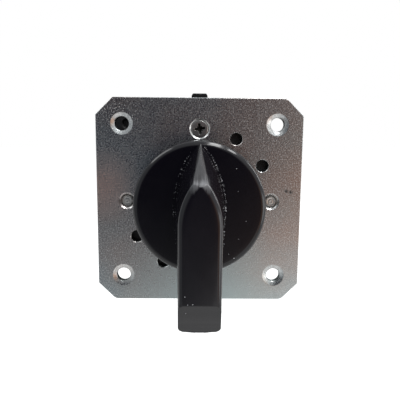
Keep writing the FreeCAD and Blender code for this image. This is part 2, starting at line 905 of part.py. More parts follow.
def make_set_screw():
    top = -shaft_square / 2 - seat_gap
    low = top - set_screw_length
    screw = upright_rod(0, -set_screw_reach, set_screw_size / 2, low, top)
    slot = block(
        -set_screw_size, set_screw_size, -set_screw_reach - slot_width / 2,
        -set_screw_reach + slot_width / 2, low, low + slot_depth,
    )
    return screw.cut(slot)


def mirrored_low(shape):
    """Copy below the spindle of a piece above it, on the same side."""
    return shape.mirror(Vector(0, 0, 0), Vector(0, 0, 1))


def mirrored_left(shape):
    """Copy on the -X side of a piece on the +X side."""
    return shape.mirror(Vector(0, 0, 0), Vector(1, 0, 0))


def four_corners(shape):
    """A terminal's piece at all four terminals of a deck."""
    pair = [shape, mirrored_left(shape)]
    return Part.makeCompound(pair + [mirrored_low(piece) for piece in pair])


def make_parts():
    bow = make_bow_spring()
    parts = {
        "front_plate": make_front_plate(),
        "latch_housing": make_latch_housing(),
        "plate_screws": Part.makeCompound(both_sides(make_plate_screw())),
        "tie_bolts": Part.makeCompound(both_sides(make_tie_bolt())),
        "stop_plate": make_stop_plate(),
        "bow_spring_upper": bow,
        "bow_spring_lower": turned_about(bow, 180),
        "end_cover": make_end_cover(),
        "knob": make_knob(),
        "knob_set_screw": make_set_screw(),
        "shaft": make_shaft(),
        "star_wheel": make_star_wheel(),
        "stop_cam": make_stop_cam(),
        "retaining_clip": make_retaining_clip(),
    }
    for number in range(1, deck_count + 1):
        front = housing_back + (number - 1) * deck_depth
        parts[f"deck_{number}"] = make_deck(front)
        parts[f"cam_{number}"] = make_cam(front)
        parts[f"terminal_screws_{number}"] = four_corners(make_terminal_screw(front))
        parts[f"clamp_washers_{number}"] = four_corners(make_clamp_washer(front))
        contact = make_fixed_contact(front)
        parts[f"contact_{number}_upper_right"] = contact
        parts[f"contact_{number}_upper_left"] = mirrored_left(contact)
        parts[f"contact_{number}_lower_right"] = mirrored_low(contact)
        parts[f"contact_{number}_lower_left"] = mirrored_left(mirrored_low(contact))
        for name, make in (
            ("plunger", make_plunger),
            ("bridge", make_bridge),
            ("spring", make_spring),
        ):
            piece = make(front)
            parts[f"{name}_{number}_right"] = piece
            parts[f"{name}_{number}_left"] = mirrored_left(piece)
    return parts


os.makedirs("parts", exist_ok=True)
for name, shape in make_parts().items():
    shape.exportStep(f"parts/{name}.step")
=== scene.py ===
import json
import math

import bmesh
import bpy
import numpy as np
from bpy.props import FloatProperty, FloatVectorProperty, PointerProperty
from mathutils import Matrix, Vector
from mathutils.geometry import delaunay_2d_cdt


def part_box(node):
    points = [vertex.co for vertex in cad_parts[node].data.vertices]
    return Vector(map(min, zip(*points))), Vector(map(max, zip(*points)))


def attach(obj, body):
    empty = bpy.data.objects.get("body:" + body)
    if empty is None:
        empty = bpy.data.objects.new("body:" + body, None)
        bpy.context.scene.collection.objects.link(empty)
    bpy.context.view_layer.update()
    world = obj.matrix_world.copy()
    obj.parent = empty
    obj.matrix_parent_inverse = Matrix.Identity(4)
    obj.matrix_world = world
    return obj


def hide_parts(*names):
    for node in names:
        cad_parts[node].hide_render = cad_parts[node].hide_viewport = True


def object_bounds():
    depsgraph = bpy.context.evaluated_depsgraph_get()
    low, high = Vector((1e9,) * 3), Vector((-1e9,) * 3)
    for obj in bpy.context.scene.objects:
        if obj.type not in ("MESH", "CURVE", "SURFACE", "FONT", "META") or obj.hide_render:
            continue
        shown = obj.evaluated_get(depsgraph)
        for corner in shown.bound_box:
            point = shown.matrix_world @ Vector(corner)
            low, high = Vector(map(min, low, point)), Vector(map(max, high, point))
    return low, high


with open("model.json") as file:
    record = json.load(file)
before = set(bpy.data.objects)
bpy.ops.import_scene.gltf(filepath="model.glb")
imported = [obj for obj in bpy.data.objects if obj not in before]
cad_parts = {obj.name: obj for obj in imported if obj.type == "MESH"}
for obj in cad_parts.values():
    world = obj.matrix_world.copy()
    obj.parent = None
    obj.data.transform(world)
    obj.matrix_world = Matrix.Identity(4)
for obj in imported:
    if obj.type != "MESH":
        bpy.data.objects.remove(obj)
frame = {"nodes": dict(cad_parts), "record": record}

# Looks of a rotary cam switch: a black pointer knob in front of a square zinc-plated plate, with
# the latch housing and three contact decks behind it. -Y is the front, +Z is up, all in metres.

bl_info = {
    "name": "Rotary cam switch",
    "version": (1, 0, 0),
    "blender": (4, 5, 0),
    "location": "View3D > Sidebar > Cam switch",
    "description": "Dresses the switch's knob, plate, fasteners, mouldings and contacts",
    "category": "Object",
}

CAD_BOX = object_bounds()
MM = 0.001
RELIEF = 0.5


def linear(code):
    """Linear RGB of an sRGB hex colour."""
    shares = np.array([int(code[i:i + 2], 16) for i in (0, 2, 4)]) / 255
    return tuple(np.where(shares < 0.04045, shares / 12.92, ((shares + 0.055) / 1.055) ** 2.4))


def box_mm(node):
    """Lowest and highest corners of a node at rest, in millimetres."""
    low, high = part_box(node)
    return np.array(low) / MM, np.array(high) / MM


# Sizes in millimetres, read from the frame where it states them
PLATE_LOW, PLATE_HIGH = box_mm("front_plate")
KNOB_LOW, KNOB_HIGH = box_mm("knob")
FIXING = frame["record"]["mounts"][0]["dims"]
PLATE_SIDE = PLATE_HIGH[0] - PLATE_LOW[0]
PLATE_THICKNESS = 2.0
CORNER_CUT = 5.3
CORNER_BLEND = 2.5
CORNER_SHARP = 0.2
CORNER_EASED = 0.4
PLATE_EDGE_POINTS = 4

# Corner holes: a flare in front, a thread and a collar behind, each with the radii of its
# blended edges. The thread starts and ends a little inside, and a triangle wave, lifted to
# THREAD_LAND and THREAD_FLANK steep, is clipped to its crests and roots
FIXING_PITCH = FIXING["spacing_x_mm"]
FIXING_RADIUS = FIXING["hole_r_mm"]
FLARE_RADIUS = 3.45
FLARE_DEPTH = 0.45
FLARE_LIP = 0.5
FLARE_BLENDS = (0.25, 0.3)
COLLAR_RADIUS = 3.8
COLLAR_BACK = PLATE_HIGH[1]
COLLAR_LIP = 0.6
COLLAR_BLENDS = (0.2, 0.3, 0.35)
THREAD_PITCH = 0.8
THREAD_DEPTH = 0.22
THREAD_IN_FRONT = 0.25
THREAD_IN_BACK = 0.3
THREAD_LAND = 1.3
THREAD_FLANK = 2.6
THREAD_ROWS = 61

# Round holes: the bearing's, the plain ones and, sunk for their fasteners, the screws' and bolts'.
# A count is the steps of a circle
HOLE_LIP = 0.12
HOLE_COUNT = 48
SINK_BLEND = 0.1
BEARING_HOLE = 8.95
RING_RADIUS = 22.6
SPARE_RADIUS = 1.95
SPARE_ANGLES = (30, 60, 210, 240)

# Plate screws and tie bolts, from front to back. A place is an angle on the fixing circle and how
# far the fastener is turned in, in degrees. The bolt's head is rounded at a point that lies in
# from its side and in front of its back by the two lengths of BOLT_HEAD_ROUND
SCREW_PLACES = ((90, 8), (270, 31))
SCREW_BORE = 2.15
SCREW_SINK = 3.15
SCREW_FRONT = 0.3
SCREW_FACE = 2.4
SCREW_HEAD = 2.8
SCREW_RIM = 0.25
SCREW_RIM_BLEND = 0.3
SCREW_RADIUS = 2.0
SCREW_END = 0.5
SCREW_BACK = 11.5
SHANK_BLEND = 0.1
BOLT_PLACES = ((0, 20), (180, 65))
BOLT_BORE = 1.9
BOLT_SINK = 2.6
BOLT_FRONT = 0.3
BOLT_TIP = 1.45
BOLT_BEVEL = 0.35
BOLT_BEVEL_BLEND = 0.08
BOLT_RADIUS = 1.75
BOLT_SEAT = 58.0
BOLT_HEAD = 3.2
BOLT_HEAD_BLEND = 0.2
BOLT_HEAD_BEVEL = 0.5
BOLT_HEAD_ROUND = (0.15, 0.12)
BOLT_BACK = 60.4

# Recesses as reach, half width, depth and width of the steep walls: the cross's arms and the
# corners between them, how much shallower the arms get at their ends, and the bolt's slot
CROSS_ARM = (1.7, 0.42, 1.6, 0.12)
CROSS_CORNER = (1.5, 0.3, 0.8, 0.12)
CROSS_TAPER = 0.35
BOLT_SLOT = (5.0, 0.5, 1.0, 0.06)

# Turning marks on the bolt's end: their depth, and their turns as radians for each millimetre
TURNING_DEPTH = 0.02
TURNING_RATE = 7.0

# Knob: its turned skirt and hub, and the grip's front and lower end. The rings divide the flat
# face of the skirt
MOULDING_EDGE = 0.25
SKIRT_RADIUS = KNOB_HIGH[0]
SKIRT_FRONT = -13.6
SKIRT_BACK = -7.5
SKIRT_EDGE = 1.7
SKIRT_WALL = 2.2
SKIRT_FILLET = 0.5
SKIRT_RINGS = (0, 6, 12, 16)
SKIRT_COUNT = 160
HUB_RADIUS = 7.22
HUB_BACK = KNOB_HIGH[1]
GRIP_FRONT = KNOB_LOW[1]
GRIP_LOW = KNOB_LOW[2]

# Pattern sizes in millimetres: passivation clouds, dull spots and crystals of the plating, haze
# and ripple of the knob's skin, and its pale streaks, partly wear and partly a painted highlight.
# The plating's real crystals are too fine to show in the render, and are drawn coarser
CLOUD_MM = 26.0
BLOTCH_MM = 2.2
CRYSTAL_MM = 0.4
CRYSTAL_RELIEF_MM = 0.008
HAZE_MM = 6.0
RIPPLE_MM = 1.6
RIPPLE_RELIEF_MM = 0.006
STREAK_WIDE_MM = 0.45
STREAK_LONG_MM = 4.0

# Marks: middle, radius at full strength and at none, and the values of a noise pattern between
# which the mark comes in. Pale patches of the pointer, partly wear and partly a painted highlight,
# which stop just behind the flat front
WEAR_AND_HIGHLIGHT_MARKS = (
    ((0.4, -36.5, 14.5), 0.0, 6.0, 0.5, 0.66),
    ((0.0, -39.6, 10.2), 0.0, 3.2, 0.36, 0.52),
)
STREAK_OFF_FRONT_MM = 0.04

# Marks on the plate, with their sRGB colour and the roughness that they add: painted shade in the
# corner bores, white flecks at the upper left, a scuff at the right edge, a warm, dulled patch at
# the left and a bluish tint at the lower edge, with a painted reflection that lightens it
PLATE_MARKS_AND_PAINTED_LIGHT = (
    # Painted shade in the corner bores: black in the upper left one, speckled darker in the others
    ((-24.0, 1.9, 24.0), 2.5, 2.8, 0.0, 0.05, "0c0c0d", 0.3),
    ((24.0, 1.9, 24.0), 2.5, 2.8, 0.42, 0.6, "141413", 0.3),
    ((-24.0, 1.9, -24.0), 2.5, 2.8, 0.4, 0.52, "141413", 0.3),
    ((24.0, 1.9, -24.0), 2.5, 2.8, 0.45, 0.6, "141413", 0.3),
    ((-25.0, 0.0, 30.0), 2.0, 9.0, 0.61, 0.67, "ffffff", 0.5),
    ((27.4, 0.0, 3.4), 0.2, 0.8, 0.4, 0.5, "1c1b1a", 0.2),
    ((28.8, 0.0, 3.2), 0.2, 0.9, 0.4, 0.5, "1c1b1a", 0.2),
    ((-30.0, 0.0, 5.0), 2.0, 13.0, 0.3, 0.6, "c9aea6", 0.1),
    # Bluish tint and painted reflection: the plate lighter and bluer towards its lower edge
    ((2.0, 0.0, -36.0), 8.0, 34.0, 0.1, 0.5, "bccccd", 0.03),
)

# Depths between which the painted shade in a screw's recess turns it black, and the roughness of
# its bare steel and of the painted shade
RECESS_SHADE_DEPTHS = (0.42, 0.75)
RECESS_SHADE_ROUGHNESS = (0.3, 0.75)

# Values of the noise patterns between which clouds, dull spots and crystals come in, and between
# which a grain swings the roughness
FLOW_BAND = (0.35, 0.68)
CLOUD_BAND = (0.4, 0.6)
BLOTCH_BAND = (0.4, 0.75)
FROST_BAND = (0.48, 0.66)
GRAIN_BAND = (0.3, 0.7)

# How far the roughness swings about each finish's setting, and the share of the haze that shows
# at the skirt's face and at the grip's front
POLISH_SWING = (-0.03, 0.02)
GLOSS_SWING = (0.0, 0.08)
DULLNESS_SWING = (-0.06, 0.08)
HAZE_SHARES = (0.15, 0.8)

# Turns in degrees above which an edge is crisp: turned pieces, grip, fasteners and mouldings,
# and the turn below which two faces of a CAD mesh are one
TURNED_SHARP = 35.0
GRIP_SHARP = 18.0
FASTENER_SHARP = 40.0
MOULDING_SHARP = 30.0
FLAT_TURN = 0.5

# Margins: metres within which two points are one, length at which an edge is none, and how far
# under the bevel's plane a point of the grip counts as cut off
SAME_POINT = 1e-6
NO_LENGTH = 1e-7
UNDER_BEVEL = 1e-6


def turned_grid(profile, count, x=0.0, z=0.0):
    """Surface of revolution about a line through (x, z) along Y: each profile row (radius, y) is
    carried round a circle in count steps."""
    profile = np.asarray(profile, float)
    turn = np.arange(count) * 2 * math.pi / count
    radius = profile[:, 0, None]
    return np.stack([
        x + radius * np.cos(turn),
        np.broadcast_to(profile[:, 1, None], (len(profile), count)),
        z + radius * np.sin(turn),
    ], -1)


def surface(points, wrap=True):
    """Quads over a (rows, columns, 3) array; wrap joins each row's last column to its first."""
    rows, columns = points.shape[:2]
    row = np.arange(rows - 1)[:, None] * columns
    column = np.arange(columns if wrap else columns - 1)[None, :]
    after = (column + 1) % columns
    quads = np.stack(
        [row + column, row + after, row + columns + after, row + columns + column], -1)
    return points.reshape(-1, 3), quads.reshape(-1, 4)


def rounded(corners, steps):
    """Line through (radius, y[, blend]) corners, each blend an arc tangent to both its sides."""
    places = np.array([corner[:2] for corner in corners], float)
    line = []
    for index, corner in enumerate(corners):
        place = places[index]
        if len(corner) < 3:
            line.append(place[None])
            continue
        to_last = places[index - 1] - place
        to_next = places[(index + 1) % len(corners)] - place
        to_last, to_next = to_last / np.hypot(*to_last), to_next / np.hypot(*to_next)
        half = math.acos(np.clip(to_last @ to_next, -1, 1)) / 2
        start = place + to_last * corner[2] / math.tan(half)
        end = place + to_next * corner[2] / math.tan(half)
        inward = (to_last + to_next) / np.hypot(*(to_last + to_next))
        centre = place + inward * corner[2] / math.sin(half)
        first = math.atan2(*(start - centre)[::-1])
        swing = (math.atan2(*(end - centre)[::-1]) - first + math.pi) % (2 * math.pi) - math.pi
        turn = first + swing * np.linspace(0, 1, steps + 1)
        line.append(centre + corner[2] * np.stack([np.cos(turn), np.sin(turn)], -1))
    return np.concatenate(line)


def holed_face(outline, holes, lift):
    """Flat face inside a convex outline of (a, b) points, less its round holes (a, b, radius,
    count): a Delaunay net of all the rims, without the triangles whose middle is in a hole.
    lift(a, b) gives the face's points in space."""
    rims = [np.asarray(outline)]
    for a, b, radius, count in holes:
        turn = np.arange(count) * 2 * math.pi / count
        rims.append(np.stack([a + radius * np.cos(turn), b + radius * np.sin(turn)], -1))
    flat = np.concatenate(rims)
    starts = np.cumsum([0] + [len(rim) for rim in rims[:-1]])
    edges = np.concatenate([
        np.stack([start + np.arange(len(rim)), start + (np.arange(len(rim)) + 1) % len(rim)], -1)
        for start, rim in zip(starts, rims)
    ])
    net = delaunay_2d_cdt(flat.tolist(), edges.tolist(), [], 0, NO_LENGTH)
    flat, corners = np.array(net[0]), np.array(net[2])
    middle = flat[corners].mean(1)
    kept = np.ones(len(corners), bool)
    for a, b, radius, _ in holes:
        kept &= np.hypot(middle[:, 0] - a, middle[:, 1] - b) > radius
    return lift(flat[:, 0], flat[:, 1]), corners[kept]


def add_piece(name, mesh, material, sharp):
    """Object of a mesh, smooth apart from the edges that turn by more than sharp degrees."""
    mesh.materials.clear()
    mesh.materials.append(material)
    mesh.shade_smooth()
    mesh.set_sharp_from_angle(angle=math.radians(sharp))
    piece = bpy.data.objects.new(name, mesh)
    bpy.context.scene.collection.objects.link(piece)
    return piece


def new_piece(name, shells, material, sharp=TURNED_SHARP):
    """Piece from surfaces in millimetres: their seams are merged and their faces turned
    outwards."""
    points, faces, offset = [], [], 0
    for vertices, corners in shells:
        points.append(vertices)
        faces.extend((corners + offset).tolist())
        offset += len(vertices)
    mesh = bpy.data.meshes.new(name)
    mesh.from_pydata((np.concatenate(points) * MM).tolist(), [], faces)
    net = bmesh.new()
    net.from_mesh(mesh)
    bmesh.ops.remove_doubles(net, verts=net.verts, dist=SAME_POINT)
    bmesh.ops.dissolve_degenerate(net, edges=net.edges, dist=NO_LENGTH)
    bmesh.ops.recalc_face_normals(net, faces=net.faces)
    net.to_mesh(mesh)
    net.free()
    return add_piece(name, mesh, material, sharp)


def soften(piece, width, limit, segments=3):
    """Bevel modifier on the edges sharper than limit, then normals weighted by face area."""
    bevel = piece.modifiers.new("Edge radius", "BEVEL")
    bevel.width = width * MM
    bevel.segments = segments
    bevel.limit_method = "ANGLE"
    bevel.angle_limit = math.radians(limit)
    bevel.use_clamp_overlap = False
    bevel.miter_outer = "MITER_ARC"
    weigh(piece)


def weigh(piece):
    """Normals weighted by face area, so that flat faces stay flat beside rounded edges."""
    weighted = piece.modifiers.new("Flat faces", "WEIGHTED_NORMAL")
    weighted.keep_sharp = True
    weighted.weight = 80


def add_node(tree, kind, inputs=(), **settings):
    """Adds a node with its settings. An input, by name or number, takes a constant, a socket or a
    node, whose first live output is linked."""
    made = tree.nodes.new(kind)
    for name, value in settings.items():
        setattr(made, name, value)
    live = {socket.name: socket for socket in reversed(made.inputs) if socket.enabled}
    for key, value in dict(inputs).items():
        socket = made.inputs[key] if isinstance(key, int) else live[key]
        if isinstance(value, bpy.types.Node):
            value = next(output for output in value.outputs if output.enabled)
        if isinstance(value, bpy.types.NodeSocket):
            tree.links.new(value, socket)
        elif socket.type == "RGBA":
            socket.default_value = (*value[:3], 1.0)
        else:
            socket.default_value = value
    return made


def start_tree(owner):
    """Empty node tree of a material or a world."""
    owner.use_nodes = True
    owner.node_tree.nodes.clear()
    return owner.node_tree


def start_material(name):
    """Empty material, its node tree and the Object coordinates that its patterns read."""
    material = bpy.data.materials.new(name)
    tree = start_tree(material)
    return material, tree, add_node(tree, "ShaderNodeTexCoord").outputs["Object"]


def mark_share(tree, place, mark, noise, most=1.0):
    """Share of a mark (middle, full, none, low, high): it falls from most to nothing between its
    full and none radii about its middle, and comes in where the noise rises from low to high."""
    middle, full, none, low, high = mark
    away = add_node(tree, "ShaderNodeVectorMath", {
        0: place, 1: [value * MM for value in middle]}, operation="DISTANCE")
    near = add_node(tree, "ShaderNodeMapRange", {
        "Value": away.outputs["Value"], "From Min": none * MM, "From Max": full * MM,
        "To Max": most})
    specks = add_node(tree, "ShaderNodeMapRange", {
        "Value": noise, "From Min": low, "From Max": high})
    return add_node(tree, "ShaderNodeMath", {0: near, 1: specks}, operation="MULTIPLY")


def clouded_finish(name, colours, cloud_mm, grain_mm, roughness, relief_mm, **constants):
    """Finish of one stuff: its two colours in clouds cloud_mm across, and a grain grain_mm
    across that swings the roughness between two values and stands relief_mm high. The real
    grain is too fine to show in the render, and is drawn coarser."""
    material, tree, place = start_material(name)
    cloud = add_node(tree, "ShaderNodeTexNoise", {
        "Vector": place, "Scale": 1 / (cloud_mm * MM), "Detail": 4.0, "Roughness": 0.6})
    share = add_node(tree, "ShaderNodeMapRange", {
        "Value": cloud, "From Min": FLOW_BAND[0], "From Max": FLOW_BAND[1]})
    colour = add_node(tree, "ShaderNodeMix", {
        "Factor": share, "A": colours[0], "B": colours[1]}, data_type="RGBA")
    grain = add_node(tree, "ShaderNodeTexNoise", {
        "Vector": place, "Scale": 1 / (grain_mm * MM), "Detail": 3.0, "Roughness": 0.6})
    shine = add_node(tree, "ShaderNodeMapRange", {
        "Value": grain, "From Min": GRAIN_BAND[0], "From Max": GRAIN_BAND[1],
        "To Min": roughness[0], "To Max": roughness[1]})
    relief = add_node(tree, "ShaderNodeBump", {
        "Height": grain, "Distance": relief_mm * MM, "Strength": RELIEF})
    shader = add_node(tree, "ShaderNodeBsdfPrincipled", {
        "Base Color": colour, "Roughness": shine, "Normal": relief,
        **{key.replace("_", " "): value for key, value in constants.items()}})
    add_node(tree, "ShaderNodeOutputMaterial", {"Surface": shader})
    return material


def zinc_sheet():
    """Zinc-plated, passivated steel sheet: a dull mirror, frosted by the plating's crystals and
    clouded by the passivation, cool here and warm there, with the marks that use has left, shade
    painted into its corner bores and a painted reflection that lightens its lower edge."""
    look = bpy.context.scene.switch_plate
    material, tree, place = start_material("Zinc-plated steel sheet")
    cloud = add_node(tree, "ShaderNodeTexNoise", {
        "Vector": place, "Scale": 1 / (CLOUD_MM * MM), "Detail": 2.0})
    blotch = add_node(tree, "ShaderNodeTexNoise", {
        "Vector": place, "Scale": 1 / (BLOTCH_MM * MM), "Detail": 4.0, "Roughness": 0.65})
    crystal = add_node(tree, "ShaderNodeTexNoise", {
        "Vector": place, "Scale": 1 / (CRYSTAL_MM * MM), "Detail": 3.0, "Roughness": 0.7})
    colour = look.zinc
    for noise, band, most, tint in (
        (cloud, CLOUD_BAND, 1.0, look.warm), (blotch, BLOTCH_BAND, look.mottle / 2, look.dull),
        (crystal, FROST_BAND, look.mottle, look.bright),
    ):
        share = add_node(tree, "ShaderNodeMapRange", {
            "Value": noise, "From Min": band[0], "From Max": band[1], "To Max": most})
        colour = add_node(tree, "ShaderNodeMix", {
            "Factor": share, "A": colour, "B": tint}, data_type="RGBA")
    # The last share is the crystals', which roughen the plating too
    frost = share
    shine = add_node(tree, "ShaderNodeMapRange", {
        "Value": blotch, "From Min": GRAIN_BAND[0], "From Max": GRAIN_BAND[1],
        "To Min": look.polish + POLISH_SWING[0], "To Max": look.polish + POLISH_SWING[1]})
    shine = add_node(tree, "ShaderNodeMath", {
        0: frost, 1: look.frost, 2: shine}, operation="MULTIPLY_ADD")
    # Marks, among them painted shade in the corner bores and a painted reflection at the lower
    # edge
    for *mark, tint, dulled in PLATE_MARKS_AND_PAINTED_LIGHT:
        share = mark_share(tree, place, mark, crystal)
        colour = add_node(tree, "ShaderNodeMix", {
            "Factor": share, "A": colour, "B": linear(tint)}, data_type="RGBA")
        shine = add_node(tree, "ShaderNodeMath", {
            0: share, 1: dulled, 2: shine}, operation="MULTIPLY_ADD")
    relief = add_node(tree, "ShaderNodeBump", {
        "Height": crystal, "Distance": CRYSTAL_RELIEF_MM * MM, "Strength": RELIEF})
    shader = add_node(tree, "ShaderNodeBsdfPrincipled", {
        "Base Color": colour, "Metallic": 1.0, "Roughness": shine, "Normal": relief})
    add_node(tree, "ShaderNodeOutputMaterial", {"Surface": shader})
    return material


def knob_moulding():
    """Thermoset moulding, black and glossy: faintly rippled from the mould, hazed more towards the
    grip's front, and streaked pale where the pointer's ridge meets the front, partly by wear and
    partly by a painted highlight."""
    look = bpy.context.scene.switch_knob
    material, tree, place = start_material("Black thermoset knob moulding")
    depth = add_node(tree, "ShaderNodeSeparateXYZ", {"Vector": place}).outputs["Y"]
    # The haze shows more towards the grip's front
    towards_front = add_node(tree, "ShaderNodeMapRange", {
        "Value": depth, "From Min": SKIRT_FRONT * MM, "From Max": GRIP_FRONT * MM,
        "To Min": HAZE_SHARES[0], "To Max": HAZE_SHARES[1]})
    haze = add_node(tree, "ShaderNodeTexNoise", {
        "Vector": place, "Scale": 1 / (HAZE_MM * MM), "Detail": 4.0, "Roughness": 0.6})
    share = add_node(tree, "ShaderNodeMath", {0: haze, 1: towards_front}, operation="MULTIPLY")
    colour = add_node(tree, "ShaderNodeMix", {
        "Factor": share, "A": look.moulding, "B": look.haze}, data_type="RGBA")
    drawn = add_node(tree, "ShaderNodeMapping", {
        "Vector": place, "Scale": (1 / (STREAK_WIDE_MM * MM), 0.0, 1 / (STREAK_LONG_MM * MM))})
    streak = add_node(tree, "ShaderNodeTexNoise", {
        "Vector": drawn, "Scale": 1.0, "Detail": 3.0, "Roughness": 0.6})
    behind = add_node(tree, "ShaderNodeMapRange", {
        "Value": depth, "From Min": GRIP_FRONT * MM,
        "From Max": (GRIP_FRONT + STREAK_OFF_FRONT_MM) * MM})
    # Pale streaks on the ridge and the apex: partly wear, partly a painted highlight
    for mark in WEAR_AND_HIGHLIGHT_MARKS:
        worn_and_highlit = mark_share(tree, place, mark, streak, behind)
        colour = add_node(tree, "ShaderNodeMix", {
            "Factor": worn_and_highlit, "A": colour, "B": look.worn_and_highlit}, data_type="RGBA")
    shine = add_node(tree, "ShaderNodeMapRange", {
        "Value": haze, "From Min": GRAIN_BAND[0], "From Max": GRAIN_BAND[1],
        "To Min": look.gloss + GLOSS_SWING[0], "To Max": look.gloss + GLOSS_SWING[1]})
    ripple = add_node(tree, "ShaderNodeTexNoise", {
        "Vector": place, "Scale": 1 / (RIPPLE_MM * MM), "Detail": 2.0})
    relief = add_node(tree, "ShaderNodeBump", {
        "Height": ripple, "Distance": RIPPLE_RELIEF_MM * MM, "Strength": RELIEF})
    shader = add_node(tree, "ShaderNodeBsdfPrincipled", {
        "Base Color": colour, "IOR": 1.46, "Roughness": shine, "Normal": relief})
    add_node(tree, "ShaderNodeOutputMaterial", {"Surface": shader})
    return material


def dust_lint():
    """House dust: pale, dry mineral grains and lint, matt and a little uneven in tone."""
    look = bpy.context.scene.switch_knob
    return clouded_finish(
        "Pale house dust", (look.dust, look.worn_and_highlit), cloud_mm=1.0, grain_mm=0.2,
        roughness=(0.8, 0.95), relief_mm=0.01)


def plated_steel():
    """Cold-headed steel with bright zinc: small grain and slightly uneven polish."""
    return clouded_finish(
        "Bright zinc-plated steel", (linear("a9aaa8"), linear("d6d6d2")), cloud_mm=0.6,
        grain_mm=0.4, roughness=(0.28, 0.42), relief_mm=0.003, Metallic=1.0)


def screw_with_painted_shade():
    """Bright zinc-plated steel with shade painted into its cross recess and sink: it turns black
    and dull below the head's face."""
    material, tree, place = start_material("Zinc-plated steel with painted shade in its recess")
    depth = add_node(tree, "ShaderNodeSeparateXYZ", {"Vector": place}).outputs["Y"]
    # Painted shade: black and dull below the head's face, deeper in the recess
    recess_shade = add_node(tree, "ShaderNodeMapRange", {
        "Value": depth, "From Min": RECESS_SHADE_DEPTHS[0] * MM, "From Max": RECESS_SHADE_DEPTHS[1] * MM})
    grain = add_node(tree, "ShaderNodeTexNoise", {
        "Vector": place, "Scale": 1 / (CRYSTAL_MM * MM), "Detail": 3.0, "Roughness": 0.6})
    steel = add_node(tree, "ShaderNodeMix", {
        "Factor": grain, "A": linear("a2a3a3"), "B": linear("d2d2ce")}, data_type="RGBA")
    colour = add_node(tree, "ShaderNodeMix", {
        "Factor": recess_shade, "A": steel, "B": linear("131210")}, data_type="RGBA")
    bare = add_node(tree, "ShaderNodeMath", {0: 1.0, 1: recess_shade}, operation="SUBTRACT")
    shine = add_node(tree, "ShaderNodeMapRange", {
        "Value": recess_shade, "To Min": RECESS_SHADE_ROUGHNESS[0], "To Max": RECESS_SHADE_ROUGHNESS[1]})
    relief = add_node(tree, "ShaderNodeBump", {
        "Height": grain, "Distance": CRYSTAL_RELIEF_MM * MM, "Strength": RELIEF})
    shader = add_node(tree, "ShaderNodeBsdfPrincipled", {
        "Base Color": colour, "Metallic": bare, "Roughness": shine, "Normal": relief})
    add_node(tree, "ShaderNodeOutputMaterial", {"Surface": shader})
    return material


def nickel_terminals():
    """Nickel-plated steel of the terminal screws and clamps: yellowish, with a stamped skin."""
    return clouded_finish(
        "Nickel-plated terminal steel", (linear("b5b0a4"), linear("dcd8cc")), cloud_mm=1.2,
        grain_mm=0.5, roughness=(0.22, 0.36), relief_mm=0.003, Metallic=1.0)


def spring_wire():
    """Hardened, oil-tempered spring steel: dark, with a soft grey shine."""
    return clouded_finish(
        "Oil-tempered spring steel", (linear("55534f"), linear("8c8983")), cloud_mm=0.8,
        grain_mm=0.3, roughness=(0.25, 0.42), relief_mm=0.002, Metallic=1.0)


def brass_strip():
    """Stamped brass strip: warm yellow, a little tarnished in patches."""
    return clouded_finish(
        "Stamped brass strip", (linear("d9b566"), linear("a57b3b")), cloud_mm=3.0,
        grain_mm=0.35, roughness=(0.24, 0.4), relief_mm=0.002, Metallic=1.0)


def body_moulding():
    """Glass-filled thermoset of the housing and decks: black, matt, with a fine spark-eroded
    texture and pale flow clouds."""
    look = bpy.context.scene.switch_body
    return clouded_finish(
        "Black glass-filled thermoset", (look.moulding, look.flow), cloud_mm=9.0,
        grain_mm=0.35, roughness=[look.dullness + swing for swing in DULLNESS_SWING],
        relief_mm=0.008, IOR=1.5, Specular_IOR_Level=0.25)


def cam_moulding():
    """Natural acetal of the cams and plungers: waxy off-white with a soft sheen."""
    return clouded_finish(
        "Natural acetal", (linear("dedacb"), linear("f0ede2")), cloud_mm=3.0, grain_mm=0.4,
        roughness=(0.32, 0.42), relief_mm=0.004, IOR=1.48, Subsurface_Weight=0.15,
        Subsurface_Scale=0.4 * MM)


def finish_node(node, material):
    """Gives a CAD node its material."""
    piece = frame["nodes"][node]
    piece.data.materials.clear()
    piece.data.materials.append(material)


def dressed(node, name, material, width):
    """Merged copy of a CAD moulding, with its edges rounded to a width in millimetres."""
    mesh = frame["nodes"][node].data.copy()
    mesh.name = name
    net = bmesh.new()
    net.from_mesh(mesh)
    bmesh.ops.remove_doubles(net, verts=net.verts, dist=SAME_POINT)
    bmesh.ops.dissolve_limit(
        net, angle_limit=math.radians(FLAT_TURN), verts=net.verts, edges=net.edges)
    net.to_mesh(mesh)
    net.free()
    piece = add_piece(name, mesh, material, MOULDING_SHARP)
    soften(piece, width, MOULDING_SHARP, segments=2)
    return piece


def settle(piece, body, slot, *nodes):
    """Says what the piece rides on and which nodes it stands for; slot, the finish that it takes,
    is not used.
    """
    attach(piece, body)
    if nodes:
        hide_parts(*nodes)


# Pointer grip: three outlines that the sides run through, from the skirt to the flat front. The
# last two are the foot and the top of the rounded edge that runs round the front
GRIP_REACHES = (-12.6, -38.7, GRIP_FRONT)
NOSE_HALF = (0.12, 1.75, 0.15)
NOSE_TOP = (18.8, 10.4, 9.5)
SHOULDER_HALF = (7.2, 5.4, 4.1)
SHOULDER_TOP = (0.0, -0.4, -1.3)
TAIL_HALF = (6.4, 5.3, 4.0)
TAIL_ROOT = 17.2
TAIL_TIP_REACH = -34.2
BEVEL_TOP = -19.2
TAIL_CORNER = (1.9, 1.9, 0.9)

# Grip's grid: points across the front, along the nose's arc and along the flank's three
# stretches, rows up the wall and round the edge, steps of the search for the bevel, and the
# shares that divide a flank which no bevel meets
ACROSS = 9
ARC_POINTS = 33
FLANK_POINTS = (15, 4, 9)
WALL_ROWS = 29
EDGE_ROWS = 9
SEARCH_STEPS = 801
PLAIN_FOLDS = (0.3, 0.6)

